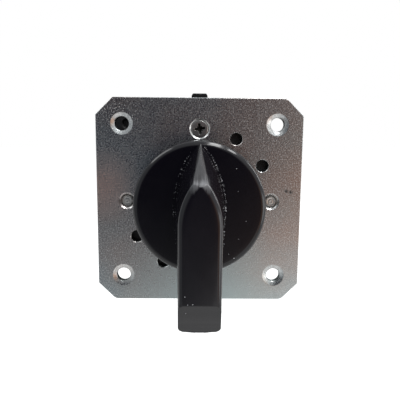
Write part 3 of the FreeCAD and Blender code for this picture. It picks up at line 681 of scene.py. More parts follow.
# Grip's ridge, rounded edge and set screw's hole. The ridge's crown is a share of its half width
# and fades in and out over two shares of the grip's wall
RIDGE_CROWN = 0.3
RIDGE_FADE_IN = 0.05
RIDGE_FADE_OUT = 0.4
EDGE_RADIUS = 0.14
SET_SCREW_REACH = -22.0
SET_SCREW_HOLE = 2.05
SET_SCREW_TOP = -3.6
SET_SCREW_COUNT = 40
SET_SCREW_ROWS = 9

# Dust: how many grains lie on each side, how far down the grip they reach, how much they gather
# at the middle of that run (1 is not at all), how far off the grip and the skirt they lie, their
# radii and what these are multiplied by along each axis, and the strays on the skirt's face, the
# grip's front and its bevelled end
DUST_SEED = 7
DUST_RIGHT = 150
DUST_LEFT = 40
DUST_RUN = 32.0
DUST_GATHERING = 1.5
DUST_OFF_GRIP = (0.1, 0.55)
DUST_OFF_SKIRT = 0.03
DUST_SIZES = (0.05, 0.17)
DUST_THINNEST = (0.7, 0.35, 0.7)
DUST_THICKEST = (1.3, 0.5, 1.3)
DUST_DOWN_BEVEL = 0.26
DUST_STRAYS = (
    (13.5, SKIRT_FRONT, -3.6), (10.4, SKIRT_FRONT, 11.6), (11.0, SKIRT_FRONT, 5.1),
    (11.4, SKIRT_FRONT, -8.9), (10.2, SKIRT_FRONT, -14.6), (8.6, SKIRT_FRONT, -13.4),
    (-3.6, GRIP_FRONT, -16.9), (-2.9, GRIP_FRONT, -18.9), (-1.7, GRIP_FRONT, -18.8),
    (-3.4, -38.5, BEVEL_TOP + DUST_DOWN_BEVEL * (GRIP_LOW - BEVEL_TOP)),
)
DUST_STRAY_SIZE = 0.14


def tail_z(y):
    """Height of the grip's sloping underside at depth y."""
    slope = (-GRIP_LOW - TAIL_ROOT) / (SKIRT_FRONT - TAIL_TIP_REACH)
    return -(TAIL_ROOT + slope * (SKIRT_FRONT - y))


def tail_corner(section):
    """Arc round the outline's lower right corner, from the flank to the flat underside."""
    low = tail_z(GRIP_REACHES[section])
    return rounded([
        (SHOULDER_HALF[section], SHOULDER_TOP[section]),
        (TAIL_HALF[section], low, TAIL_CORNER[section]), (0, low)], steps=8)[1:-1]


def flank_share(section, z):
    """Share of the flank's length at which it reaches a height."""
    return (SHOULDER_TOP[section] - z) / (SHOULDER_TOP[section] - tail_corner(section)[0][1])


def grip_half(section, fold, rim_fold):
    """Right half of one grip outline, (x, z) from the nose's corner to the tail's: an arc that
    ends upright at the shoulder, a straight flank and an arc round the tail's corner. The
    flank has points at the shares fold and rim_fold of its length."""
    nose, top = NOSE_HALF[section], NOSE_TOP[section]
    half, shoulder = SHOULDER_HALF[section], SHOULDER_TOP[section]
    inset, drop = half - nose, top - shoulder
    radius = (inset ** 2 + drop ** 2) / (2 * inset)
    turn = np.linspace(math.asin(drop / radius), 0, ARC_POINTS)
    side = np.stack([half - radius + radius * np.cos(turn), shoulder + radius * np.sin(turn)], -1)
    corner = tail_corner(section)
    folds = (0, fold, rim_fold, 1)
    shares = np.concatenate([
        np.linspace(start, end, count)[1:]
        for start, end, count in zip(folds, folds[1:], FLANK_POINTS)])[:, None]
    flank = side[-1] + shares * (corner[0] - side[-1])
    return np.concatenate([side, flank, corner[1:]])


def grip_shells():
    """Pointer grip. Straight lines join like points of the first two outlines, and a quarter of
    an ellipse carries each on to the front, depth by the sine and inset by 1 - cosine. All
    stop at the sloping plane that bevels the grip's lower front. The front is ruled from side
    to side, and so is the pointer's ridge, which a parabola crowns. The crown fades in at the
    skirt and out towards the front."""
    reach = np.array(GRIP_REACHES)
    bevel_run = np.array([TAIL_TIP_REACH - GRIP_FRONT, GRIP_LOW - BEVEL_TOP])
    rim_bevel = BEVEL_TOP + (reach[1] - GRIP_FRONT) * bevel_run[1] / bevel_run[0]
    fold, rim_fold = flank_share(2, BEVEL_TOP), flank_share(1, rim_bevel)
    half = np.stack([grip_half(section, fold, rim_fold) for section in range(3)])

    def along(stretch):
        """Points at a share from 0 at the root to 1 at the edge's foot and 2 at the front."""
        wall = np.clip(stretch, 0, 1)[..., None]
        turn = np.clip(stretch - 1, 0, 1)[..., None] * math.pi / 2
        inset = 1 - np.cos(turn)
        flat = half[0] + wall * (half[1] - half[0]) + inset * (half[2] - half[1])
        y = reach[0] + wall * (reach[1] - reach[0]) + np.sin(turn) * (reach[2] - reach[1])
        return np.concatenate([flat[..., :1], y, flat[..., 1:]], -1)

    fine = np.linspace(0, 2, SEARCH_STEPS)[:, None] * np.ones(half.shape[1])
    tried = along(fine)
    below = ((tried[..., 2] - BEVEL_TOP) * bevel_run[0]
             - (tried[..., 1] - GRIP_FRONT) * bevel_run[1]) < -UNDER_BEVEL
    end = np.where(below.any(0), fine[below.argmax(0), 0], 2.0)
    wall_end = np.minimum(end, 1.0)
    rows = np.concatenate([
        np.linspace(0, 1, WALL_ROWS)[:, None] * wall_end,
        wall_end + np.linspace(0, 1, EDGE_ROWS)[1:, None] * (end - wall_end)])
    right = along(rows)
    left = right * np.array([-1, 1, 1])
    share = np.linspace(-1, 1, ACROSS)

    def ruled(line):
        """Points from the left side to the right one along each row of a right-hand line."""
        return np.stack([line * np.array([s, 1, 1]) for s in share], -2)

    stretch = rows[:, 0]
    lift = RIDGE_CROWN * right[:, 0, 0] * np.clip(
        np.minimum(stretch / RIDGE_FADE_IN, (1 - stretch) / RIDGE_FADE_OUT), 0, 1)
    upward = np.array([0, NOSE_TOP[1] - NOSE_TOP[0], reach[0] - reach[1]])
    upward /= np.hypot(*upward[1:])
    ridge = ruled(right[:, 0]) + (lift[:, None] * (1 - share ** 2))[..., None] * upward
    tail = right[:, -1]
    rim = np.concatenate([
        tail[:, :2], ruled(tail[-1:])[0, ::-1, :2][1:-1], left[::-1, -1, :2],
        ruled(tail[:1])[0, :, :2][1:-1]])
    hole = (0.0, SET_SCREW_REACH, SET_SCREW_HOLE, SET_SCREW_COUNT)
    underside = holed_face(rim, [hole], lambda x, y: np.stack([x, y, tail_z(y)], -1))
    turn = np.arange(SET_SCREW_COUNT) * 2 * math.pi / SET_SCREW_COUNT
    x, y = SET_SCREW_HOLE * np.cos(turn), SET_SCREW_REACH + SET_SCREW_HOLE * np.sin(turn)
    mouth = np.stack([x, y, tail_z(y)], -1)
    top = np.stack([x, y, np.full(SET_SCREW_COUNT, SET_SCREW_TOP)], -1)
    middle = np.tile([0.0, SET_SCREW_REACH, SET_SCREW_TOP], (SET_SCREW_COUNT, 1))
    bore = mouth + np.linspace(0, 1, SET_SCREW_ROWS)[:, None, None] * (top - mouth)
    return [
        surface(right, False), surface(left, False), surface(ridge, False),
        surface(ruled(right[-1]), False), surface(ruled(right[0]), False), underside,
        surface(np.concatenate([bore, middle[None]])),
    ]


def dust_shells():
    """Dust grains: octahedra stretched along random axes, strewn along the line where the grip
    meets the skirt, thickest at the pointer's right side, with a few on the open faces."""
    chance = np.random.default_rng(DUST_SEED)
    line = grip_half(0, *PLAIN_FOLDS)
    steps = np.concatenate([[0], np.cumsum(np.hypot(*np.diff(line, axis=0).T))])
    places = []
    for side, count in ((1, DUST_RIGHT), (-1, DUST_LEFT)):
        reach = chance.beta(DUST_GATHERING, DUST_GATHERING, count) * DUST_RUN
        x = np.interp(reach, steps, line[:, 0]) + chance.uniform(*DUST_OFF_GRIP, count)
        z = np.interp(reach, steps, line[:, 1])
        y = np.full(count, SKIRT_FRONT - DUST_OFF_SKIRT)
        places.append(np.stack([side * x, y, z], -1))
    places.append(np.array(DUST_STRAYS))
    centres = np.concatenate(places)
    count = len(centres)
    size = DUST_SIZES[0] + (DUST_SIZES[1] - DUST_SIZES[0]) * chance.random(count) ** 3
    size[-len(DUST_STRAYS):] = DUST_STRAY_SIZE
    stretch = size[:, None] * chance.uniform(DUST_THINNEST, DUST_THICKEST, (count, 3))
    tips = np.concatenate([np.eye(3), -np.eye(3)])
    turn = chance.uniform(0, math.pi, count)[:, None]
    x, y, z = np.moveaxis(tips[None] * stretch[:, None], -1, 0)
    points = centres[:, None] + np.stack([
        x * np.cos(turn) - z * np.sin(turn), y, x * np.sin(turn) + z * np.cos(turn)], -1)
    faces = np.array([
        (0, 1, 2), (1, 3, 2), (3, 4, 2), (4, 0, 2), (1, 0, 5), (3, 1, 5), (4, 3, 5), (0, 4, 5)])
    corners = faces[None] + 6 * np.arange(count)[:, None, None]
    return [(points.reshape(-1, 3), corners.reshape(-1, 3))]


def skirt_shell():
    """Skirt and hub, turned about the spindle: the front has a rounded rim and the back is
    hollow round the hub."""
    inner = SKIRT_FRONT + SKIRT_WALL
    profile = rounded([
        *((ring, SKIRT_FRONT) for ring in SKIRT_RINGS),
        (SKIRT_RADIUS, SKIRT_FRONT, SKIRT_EDGE),
        (SKIRT_RADIUS, SKIRT_BACK, MOULDING_EDGE),
        (SKIRT_RADIUS - SKIRT_WALL, SKIRT_BACK, MOULDING_EDGE),
        (SKIRT_RADIUS - SKIRT_WALL, inner, SKIRT_FILLET),
        (HUB_RADIUS, inner, SKIRT_FILLET),
        (HUB_RADIUS, HUB_BACK, MOULDING_EDGE),
        (0, HUB_BACK),
    ], steps=8)
    return surface(turned_grid(profile, SKIRT_COUNT))


class CAMSWITCH_PG_knob(bpy.types.PropertyGroup):
    """Colours and gloss of the knob"""
    moulding: FloatVectorProperty(
        name="Moulding", description="Colour of the knob's black moulding",
        default=linear("0e0d12"), subtype="COLOR", size=3)
    # Paler haze of the moulding, more of it towards the grip's front
    haze: FloatVectorProperty(
        name="Haze", description="Colour of the moulding where handling has dulled it",
        default=linear("121016"), subtype="COLOR", size=3)
    # Colour of the pale streaks on the pointer's ridge, partly wear and partly a painted highlight
    worn_and_highlit: FloatVectorProperty(
        name="Wear", description="Colour of the streaks worn into the pointer's ridge",
        default=linear("6e6f72"), subtype="COLOR", size=3)
    dust: FloatVectorProperty(
        name="Dust", description="Colour of the dust grains in the knob's corners",
        default=linear("bcbec2"), subtype="COLOR", size=3)
    gloss: FloatProperty(
        name="Roughness", description="Roughness of the knob's cleanest parts", default=0.1,
        subtype="FACTOR")


class CAMSWITCH_PG_plate(bpy.types.PropertyGroup):
    """Colours, polish and edge of the front plate"""
    zinc: FloatVectorProperty(
        name="Zinc", description="Colour of the clean plating",
        default=linear("b4bcbe"), subtype="COLOR", size=3)
    warm: FloatVectorProperty(
        name="Warm cloud", description="Colour of the yellowish passivation",
        default=linear("bdb5b1"), subtype="COLOR", size=3)
    dull: FloatVectorProperty(
        name="Dull mottle", description="Colour of the plating's dull spots",
        default=linear("949799"), subtype="COLOR", size=3)
    bright: FloatVectorProperty(
        name="Bright grain", description="Colour of the plating's bright grains",
        default=linear("f0f2f2"), subtype="COLOR", size=3)
    mottle: FloatProperty(
        name="Mottle", description="Strength of the crystals", default=0.75,
        subtype="FACTOR")
    polish: FloatProperty(
        name="Roughness", description="Roughness of the plating", default=0.27,
        subtype="FACTOR")
    frost: FloatProperty(
        name="Frost", description="Roughness that the frosty crystals add", default=0.17,
        subtype="FACTOR")
    edge: FloatProperty(
        name="Edge radius", description="Radius of the sheet's punched edges",
        default=0.15 * MM, unit="LENGTH")


class CAMSWITCH_PG_body(bpy.types.PropertyGroup):
    """Colours and dullness of the housing and decks"""
    moulding: FloatVectorProperty(
        name="Moulding", description="Colour of the housing and decks",
        default=linear("0c0c0e"), subtype="COLOR", size=3)
    flow: FloatVectorProperty(
        name="Flow cloud", description="Colour of the paler flow marks",
        default=linear("161618"), subtype="COLOR", size=3)
    dullness: FloatProperty(
        name="Roughness", description="Roughness of the housing and decks", default=0.5,
        subtype="FACTOR")


class CAMSWITCH_PG_stage(bpy.types.PropertyGroup):
    """Floor, lamps and surroundings"""
    floor_drop: FloatProperty(
        name="Floor drop", description="Depth of the floor below the object",
        default=80 * MM, unit="LENGTH")
    strips: FloatProperty(
        name="Strips", description="Radiance of the brighter lamp strips above the switch",
        default=9.0)
    surround: FloatVectorProperty(
        name="Lit side", description="Light of the studio on the right",
        default=(1.0, 1.0, 1.0), subtype="COLOR", size=3)
    shade: FloatVectorProperty(
        name="Shaded side", description="Light of the studio on the left",
        default=(0.46, 0.49, 0.51), subtype="COLOR", size=3)
    table: FloatVectorProperty(
        name="Pale table", description="Light of the pale table ahead, low on the right",
        default=(1.0, 1.0, 1.0), subtype="COLOR", size=3)
    room: FloatVectorProperty(
        name="Room ahead", description="Light of the unlit room ahead of the switch",
        default=(0.003, 0.003, 0.016), subtype="COLOR", size=3)
    wall: FloatVectorProperty(
        name="Warm wall", description="Light of the warm wall ahead and to the right",
        default=(0.98, 0.56, 0.36), subtype="COLOR", size=3)


def ring_place(angle):
    """Place (x, z) on the fixing circle: its radius times the cosine and sine of the angle."""
    turn = math.radians(angle)
    return RING_RADIUS * math.cos(turn), RING_RADIUS * math.sin(turn)


def thread_grid(x, z, front, back):
    """Threaded bore about a line along Y: radius = bore + depth x a clipped triangle wave of
    y / pitch - turn, which fades out at both ends, on a grid of depth by turn."""
    y = np.linspace(front, back, THREAD_ROWS)[:, None]
    turn = np.arange(HOLE_COUNT)[None, :] / HOLE_COUNT
    phase = (y / THREAD_PITCH - turn) % 1
    fade = np.clip(np.minimum(y - front, back - y) / (THREAD_PITCH / 2), 0, 1)
    wave = np.clip(THREAD_LAND - THREAD_FLANK * np.abs(phase - 0.5), 0, 1)
    radius = FIXING_RADIUS + THREAD_DEPTH * wave * fade
    around = turn * 2 * math.pi
    return np.stack([
        x + radius * np.cos(around), np.broadcast_to(y, radius.shape),
        z + radius * np.sin(around)], -1)


def plate_shells(edge):
    """Front plate: two flat faces with round holes, joined by a wall round the outline and by a
    turned wall in each hole. The outline is offset square to its sides for the rounded edge."""
    half = PLATE_SIDE / 2
    inner = half - CORNER_CUT
    outline = rounded([
        (-inner, half, CORNER_SHARP), (inner, half, CORNER_BLEND), (half, inner, CORNER_EASED),
        (half, -inner, CORNER_EASED), (inner, -half, CORNER_BLEND),
        (-inner, -half, CORNER_BLEND), (-half, -inner, CORNER_EASED),
        (-half, inner, CORNER_SHARP)], steps=6)
    side = np.roll(outline, -1, 0) - outline
    normal = np.stack([-side[:, 1], side[:, 0]], -1) / np.hypot(*side.T)[:, None]
    last = np.roll(normal, 1, 0)
    miter = (normal + last) / (1 + (normal * last).sum(1))[:, None]
    turn = np.linspace(0, math.pi / 2, PLATE_EDGE_POINTS)
    back = PLATE_THICKNESS
    profile = np.concatenate([
        np.stack([edge * (1 - np.sin(turn)), edge * (1 - np.cos(turn))], -1),
        np.stack([edge * (1 - np.cos(turn)), back - edge * (1 - np.sin(turn))], -1)])
    flat = outline[None] - miter[None] * profile[:, 0, None, None]
    wall = np.concatenate([
        flat[..., :1], np.broadcast_to(profile[:, 1, None, None], flat[..., :1].shape),
        flat[..., 1:]], -1)
    shells = [surface(wall)]
    front_holes, back_holes = [], []

    def hole(x, z, corners, count=HOLE_COUNT):
        """Turned wall from the front face's rim to the back face's."""
        profile = rounded(corners, steps=3)
        shells.append(surface(turned_grid(profile, count, x, z)))
        front_holes.append((x, z, profile[0, 0], count))
        back_holes.append((x, z, profile[-1, 0], count))

    lip = HOLE_LIP
    pitch = FIXING_PITCH / 2
    flare_rim = FLARE_RADIUS + FLARE_LIP
    collar_rim = COLLAR_RADIUS + COLLAR_LIP
    thread_front = FLARE_DEPTH + THREAD_IN_FRONT
    thread_back = COLLAR_BACK - THREAD_IN_BACK
    for x, z in ((-pitch, -pitch), (-pitch, pitch), (pitch, -pitch), (pitch, pitch)):
        flare = rounded([
            (flare_rim, 0), (FLARE_RADIUS, 0, FLARE_BLENDS[0]),
            (FIXING_RADIUS, FLARE_DEPTH, FLARE_BLENDS[1]), (FIXING_RADIUS, thread_front)],
            steps=4)
        shells.append(surface(turned_grid(flare, HOLE_COUNT, x, z)))
        shells.append(surface(thread_grid(x, z, thread_front, thread_back)))
        collar = rounded([
            (FIXING_RADIUS, thread_back), (FIXING_RADIUS, COLLAR_BACK, COLLAR_BLENDS[0]),
            (COLLAR_RADIUS, COLLAR_BACK, COLLAR_BLENDS[1]),
            (COLLAR_RADIUS, back, COLLAR_BLENDS[2]),
            (collar_rim, back)], steps=4)
        shells.append(surface(turned_grid(collar, HOLE_COUNT, x, z)))
        front_holes.append((x, z, flare_rim, HOLE_COUNT))
        back_holes.append((x, z, collar_rim, HOLE_COUNT))
    for angle in SPARE_ANGLES:
        hole(*ring_place(angle), [
            (SPARE_RADIUS + lip, 0), (SPARE_RADIUS, lip), (SPARE_RADIUS, back - lip),
            (SPARE_RADIUS + lip, back)])
    for places, sink, bore in (
        (SCREW_PLACES, SCREW_SINK, SCREW_BORE), (BOLT_PLACES, BOLT_SINK, BOLT_BORE),
    ):
        for angle, _ in places:
            hole(*ring_place(angle), [
                (sink + lip, 0), (sink, 0, SINK_BLEND), (bore, sink - bore, SINK_BLEND),
                (bore, back - lip), (bore + lip, back)])
    hole(0, 0, [
        (BEARING_HOLE + lip, 0), (BEARING_HOLE, lip), (BEARING_HOLE, back - lip),
        (BEARING_HOLE + lip, back)], 2 * HOLE_COUNT)
    shells.append(holed_face(
        flat[0], front_holes, lambda x, z: np.stack([x, np.zeros_like(x), z], -1)))
    shells.append(holed_face(
        flat[-1], back_holes, lambda x, z: np.stack([x, np.full_like(x, back), z], -1)))
    return shells


def recessed_disc(radius, y, depth_at, rows, count):
    """Round face on a polar grid, sunk by depth_at(x, z)."""
    spread = np.linspace(0, radius, rows)[:, None]
    turn = np.arange(count)[None, :] * 2 * math.pi / count
    x, z = spread * np.cos(turn), spread * np.sin(turn)
    return np.stack([x, y + depth_at(x, z), z], -1)


def arm_depth(along, across, arm):
    """Depth of one recess arm (reach, half, depth, wall): full inside its half width and reach,
    less the width of its steep walls."""
    reach, half, depth, wall = arm
    inside = np.minimum(half - np.abs(across), reach - np.abs(along))
    return depth * np.clip(inside / wall, 0, 1)


def cross_depth(x, z):
    """Cross recess: two arms that get shallower outwards, and a shallow cross between them."""
    taper = 1 - CROSS_TAPER * np.hypot(x, z) / CROSS_ARM[0]
    arms = np.maximum(arm_depth(x, z, CROSS_ARM), arm_depth(z, x, CROSS_ARM))
    corners = np.maximum(
        arm_depth(x + z, x - z, CROSS_CORNER), arm_depth(x - z, x + z, CROSS_CORNER))
    return np.maximum(arms * taper, corners)


def turning_depth(x, z):
    """Turning marks: a cosine of the distance from the axis."""
    return TURNING_DEPTH * np.cos(np.hypot(x, z) * TURNING_RATE)


def slot_depth(x, z):
    """Slot in a face that looks backwards, so its depth counts forwards."""
    return -arm_depth(x, z, BOLT_SLOT)


def at_place(grid, angle, spin):
    """Grid turned by spin about its own axis and carried to a place on the fixing circle."""
    x, z = ring_place(angle)
    turn = math.radians(spin)
    placed = grid.copy()
    placed[..., 0] = x + grid[..., 0] * math.cos(turn) - grid[..., 2] * math.sin(turn)
    placed[..., 2] = z + grid[..., 0] * math.sin(turn) + grid[..., 2] * math.cos(turn)
    return placed


def plate_screw_shells(angle, spin):
    """Countersunk screw: a head with a cross recess, its edge rounded off, and a plain shank."""
    rim = SCREW_FRONT + SCREW_RIM
    seat = rim + SCREW_HEAD - SCREW_RADIUS
    face = recessed_disc(SCREW_FACE, SCREW_FRONT, cross_depth, rows=40, count=96)
    sides = turned_grid(rounded([
        (SCREW_FACE, SCREW_FRONT), (SCREW_HEAD, rim, SCREW_RIM_BLEND),
        (SCREW_RADIUS, seat, SHANK_BLEND), (SCREW_RADIUS, SCREW_BACK - SCREW_END, SHANK_BLEND),
        (SCREW_RADIUS - SCREW_END, SCREW_BACK), (0, SCREW_BACK)], steps=5), count=96)
    return [surface(at_place(grid, angle, spin)) for grid in (face, sides)]


def tie_bolt_shells(angle, spin):
    """Tie bolt: its bevelled end shows in the plate's sink, and its slotted head is behind."""
    end = recessed_disc(BOLT_TIP, BOLT_FRONT, turning_depth, rows=24, count=64)
    top = recessed_disc(
        BOLT_HEAD - BOLT_HEAD_BEVEL, BOLT_BACK, slot_depth, rows=48, count=64)
    shank = turned_grid(rounded([
        (BOLT_TIP, end[-1, 0, 1]), (BOLT_RADIUS, BOLT_FRONT + BOLT_BEVEL, BOLT_BEVEL_BLEND),
        (BOLT_RADIUS, BOLT_SEAT, SHANK_BLEND), (BOLT_HEAD, BOLT_SEAT, BOLT_HEAD_BLEND),
        (BOLT_HEAD, BOLT_BACK - BOLT_HEAD_BEVEL),
        (BOLT_HEAD - BOLT_HEAD_ROUND[0], BOLT_BACK - BOLT_HEAD_ROUND[1], BOLT_HEAD_BLEND),
        (BOLT_HEAD - BOLT_HEAD_BEVEL, BOLT_BACK)], steps=3), count=64)
    return [surface(at_place(grid, angle, spin)) for grid in (end, shank, top)]


class CAMSWITCH_OT_knob(bpy.types.Operator):
    """Model the pointer knob: a turned skirt with a lofted grip"""
    bl_idname = "cam_switch.knob"
    bl_label = "Knob"

    def execute(self, context):
        material = knob_moulding()
        skirt = new_piece("knob_skirt", [skirt_shell()], material)
        weigh(skirt)
        settle(skirt, "rotor", "knob_plastic", "knob")
        grip = new_piece("knob_grip", grip_shells(), material, GRIP_SHARP)
        soften(grip, EDGE_RADIUS, GRIP_SHARP)
        settle(grip, "rotor", "knob_plastic", "knob")
        dust = new_piece("knob_dust", dust_shells(), dust_lint())
        settle(dust, "rotor", "knob_plastic")
        return {"FINISHED"}


class CAMSWITCH_OT_plate(bpy.types.Operator):
    """Model the zinc-plated front plate with its collared, tapped corner holes"""
    bl_idname = "cam_switch.front_plate"
    bl_label = "Front plate"

    def execute(self, context):
        edge = context.scene.switch_plate.edge / MM
        plate = new_piece("front_plate_sheet", plate_shells(edge), zinc_sheet())
        weigh(plate)
        settle(plate, "switch_body", "zinc_plate", "front_plate")
        return {"FINISHED"}


class CAMSWITCH_OT_fasteners(bpy.types.Operator):
    """Model the two plate screws and the two tie bolts, and finish the set screw and spindle"""
    bl_idname = "cam_switch.fasteners"
    bl_label = "Screws and bolts"

    def execute(self, context):
        steel = plated_steel()
        screws = [shell for place in SCREW_PLACES for shell in plate_screw_shells(*place)]
        piece = new_piece("plate_screws_headed", screws, screw_with_painted_shade(), FASTENER_SHARP)
        settle(piece, "switch_body", "steel", "plate_screws")
        bolts = [shell for place in BOLT_PLACES for shell in tie_bolt_shells(*place)]
        piece = new_piece("tie_bolts_headed", bolts, steel, FASTENER_SHARP)
        settle(piece, "switch_body", "steel", "tie_bolts")
        for node in ("knob_set_screw", "shaft", "retaining_clip"):
            finish_node(node, steel)
        return {"FINISHED"}


class CAMSWITCH_OT_body(bpy.types.Operator):
    """Round the edges of the latch housing, the decks and the end cover, all black mouldings"""
    bl_idname = "cam_switch.body"
    bl_label = "Housing and decks"

    def execute(self, context):
        material = body_moulding()
        finish_node("stop_plate", material)
        for node in ("latch_housing", "deck_1", "deck_2", "deck_3", "end_cover"):
            piece = dressed(node, node + "_moulding", material, MOULDING_EDGE)
            settle(piece, "switch_body", "body_plastic", node)
        return {"FINISHED"}


class CAMSWITCH_OT_works(bpy.types.Operator):
    """Finish the cams, plungers, latch, contacts, terminals and springs inside"""
    bl_idname = "cam_switch.works"
    bl_label = "Contacts and latch"

    def execute(self, context):
        finishes = {
            "cam_plastic": cam_moulding(), "brass": brass_strip(),
            "terminal_steel": nickel_terminals(), "spring_steel": spring_wire(),
        }
        for part in frame["record"]["subparts"]:
            if part["material_slot"] in finishes:
                finish_node(part["node"], finishes[part["material_slot"]])
        return {"FINISHED"}


# Camera, fitted to the plate's corners, the knob's rim and the pointer in the photograph: its
# place and nearest view in millimetres, its pitch, turn and roll in degrees, and its lens in
# pixels of the photograph
EYE = np.array([-1.44, -153.08, 24.31])
CAMERA_TURNS = (8.78, 0.99, -0.58)
FOCAL_PIXELS = 492.7
CENTRE_PIXEL = (203.0, 199.3)
FRAME_PIXELS = 400
SENSOR_MM = 36.0
NEAREST_MM = 10

# Unlit room, warm wall and pale table that the plate and the knob mirror: the middle of each, as
# degrees to the right and up from straight ahead of the switch, and the angles from it at which
# it starts and stops fading
ROOM_AIM = (-5.5, 5.5)
ROOM_FADE = (13.0, 38.0)
WALL_AIM = (24.0, -12.5)
WALL_FADE = (9.0, 24.0)
TABLE_AIM = (16.0, -31.5)
TABLE_FADE = (15.0, 17.0)

# Lamps, LAMP_AWAY mm from the knob: name, clock angle round the spindle and tilt from straight
# ahead, how wide and long they look from the knob, all in degrees, and their radiance as a share
# of the stage's setting
LAMPS = (
    ("Strip above the knob", 74, 80, 12, 64, 1.25),
    ("Strip to the right", 56, 80, 8, 40, 1.1),
    ("Strip far to the right", 24, 104, 26, 7, 1.0),
    ("Soft lamp to the right", -10, 70, 24, 40, 1 / 4.5),
    ("Strip to the left", 131, 92, 24, 34, 1 / 3),
)
LAMP_AWAY = 700.0

# Floor: how far it reaches to the sides and back, and to the front, the tone of its paint, and
# its glow for the camera and in mirrors
FLOOR_REACH = 2500.0
FLOOR_FRONT = 110.0
FLOOR_COUNT = 9
FLOOR_PAINT = 0.4
FLOOR_GLOW = 0.74
MIRRORED_GLOW = 0.25


def make_camera():
    """Camera at EYE: pitched, turned and rolled by CAMERA_TURNS, with the fitted lens centre."""
    pitch, turn, roll = (math.radians(angle) for angle in CAMERA_TURNS)
    seen = (Matrix.Rotation(roll, 3, "Z") @ Matrix.Rotation(pitch, 3, "X")
            @ Matrix.Rotation(turn, 3, "Y"))
    upright = Matrix(((1, 0, 0), (0, 0, -1), (0, 1, 0)))
    data = bpy.data.cameras.new("Camera")
    data.sensor_width = SENSOR_MM
    data.lens = FOCAL_PIXELS / FRAME_PIXELS * SENSOR_MM
    data.shift_x = (FRAME_PIXELS / 2 - CENTRE_PIXEL[0]) / FRAME_PIXELS
    data.shift_y = (CENTRE_PIXEL[1] - FRAME_PIXELS / 2) / FRAME_PIXELS
    data.clip_start = NEAREST_MM * MM
    camera = bpy.data.objects.new("Camera", data)
    camera.matrix_world = (
        Matrix.Translation(EYE * MM) @ (upright @ seen.transposed()).to_4x4())
    bpy.context.scene.collection.objects.link(camera)
    bpy.context.scene.camera = camera


def front_way(right, up):
    """Unit vector at angles to the right and up from straight ahead of the switch."""
    right, up = math.radians(right), math.radians(up)
    return math.sin(right) * math.cos(up), -math.cos(right) * math.cos(up), math.sin(up)


def make_world():
    """Studio, white on the right and shaded on the left, and white to the camera. Ahead of the
    switch lies an unlit patch of room, with a warm wall to the right of it and a pale table
    below, for the metal and the gloss to mirror."""
    look = bpy.context.scene.switch_stage
    world = bpy.data.worlds.new("Studio")
    bpy.context.scene.world = world
    tree = start_tree(world)
    way = add_node(tree, "ShaderNodeTexCoord").outputs["Generated"]
    side = add_node(tree, "ShaderNodeSeparateXYZ", {"Vector": way}).outputs["X"]
    share = add_node(tree, "ShaderNodeMapRange", {"Value": side, "From Min": -1.0})
    colour = add_node(tree, "ShaderNodeMix", {
        "Factor": share, "A": look.shade, "B": look.surround}, data_type="RGBA")
    for aim, fade, tint in (
        (WALL_AIM, WALL_FADE, look.wall), (ROOM_AIM, ROOM_FADE, look.room),
        (TABLE_AIM, TABLE_FADE, look.table),
    ):
        near = add_node(tree, "ShaderNodeVectorMath", {
            0: way, 1: front_way(*aim)}, operation="DOT_PRODUCT").outputs["Value"]
        share = add_node(tree, "ShaderNodeMapRange", {
            "Value": near, "From Min": math.cos(math.radians(fade[1])),
            "From Max": math.cos(math.radians(fade[0]))})
        colour = add_node(tree, "ShaderNodeMix", {
            "Factor": share, "A": colour, "B": tint}, data_type="RGBA")
    rays = add_node(tree, "ShaderNodeLightPath").outputs
    colour = add_node(tree, "ShaderNodeMix", {
        "Factor": rays["Is Camera Ray"], "A": colour, "B": (1.0, 1.0, 1.0)}, data_type="RGBA")
    shade = add_node(tree, "ShaderNodeBackground", {"Color": colour, "Strength": 1.0})
    add_node(tree, "ShaderNodeOutputWorld", {"Surface": shade})


def make_lamp(name, clock, tilt, across, along, radiance):
    """Rectangular lamp aimed at the knob. It stands at a clock angle round the spindle, tilted
    from straight ahead, and subtends across x along degrees. Its power is pi x radiance x area,
    as for any even, matt light."""
    clock, tilt = math.radians(clock), math.radians(tilt)
    ring = Vector((math.cos(clock), 0, math.sin(clock)))
    ahead = Vector((0, -1, 0))
    outward = ring * math.sin(tilt) + ahead * math.cos(tilt)
    length = ring * math.cos(tilt) - ahead * math.sin(tilt)
    data = bpy.data.lights.new(name, "AREA")
    data.shape = "RECTANGLE"
    data.size, data.size_y = (
        2 * LAMP_AWAY * MM * math.tan(math.radians(angle / 2)) for angle in (across, along))
    data.energy = math.pi * radiance * data.size * data.size_y
    lamp = bpy.data.objects.new(name, data)
    turned = Matrix((length.cross(outward), length, outward)).transposed().to_4x4()
    lamp.matrix_world = Matrix.Translation(outward * LAMP_AWAY * MM) @ turned
    bpy.context.scene.collection.objects.link(lamp)


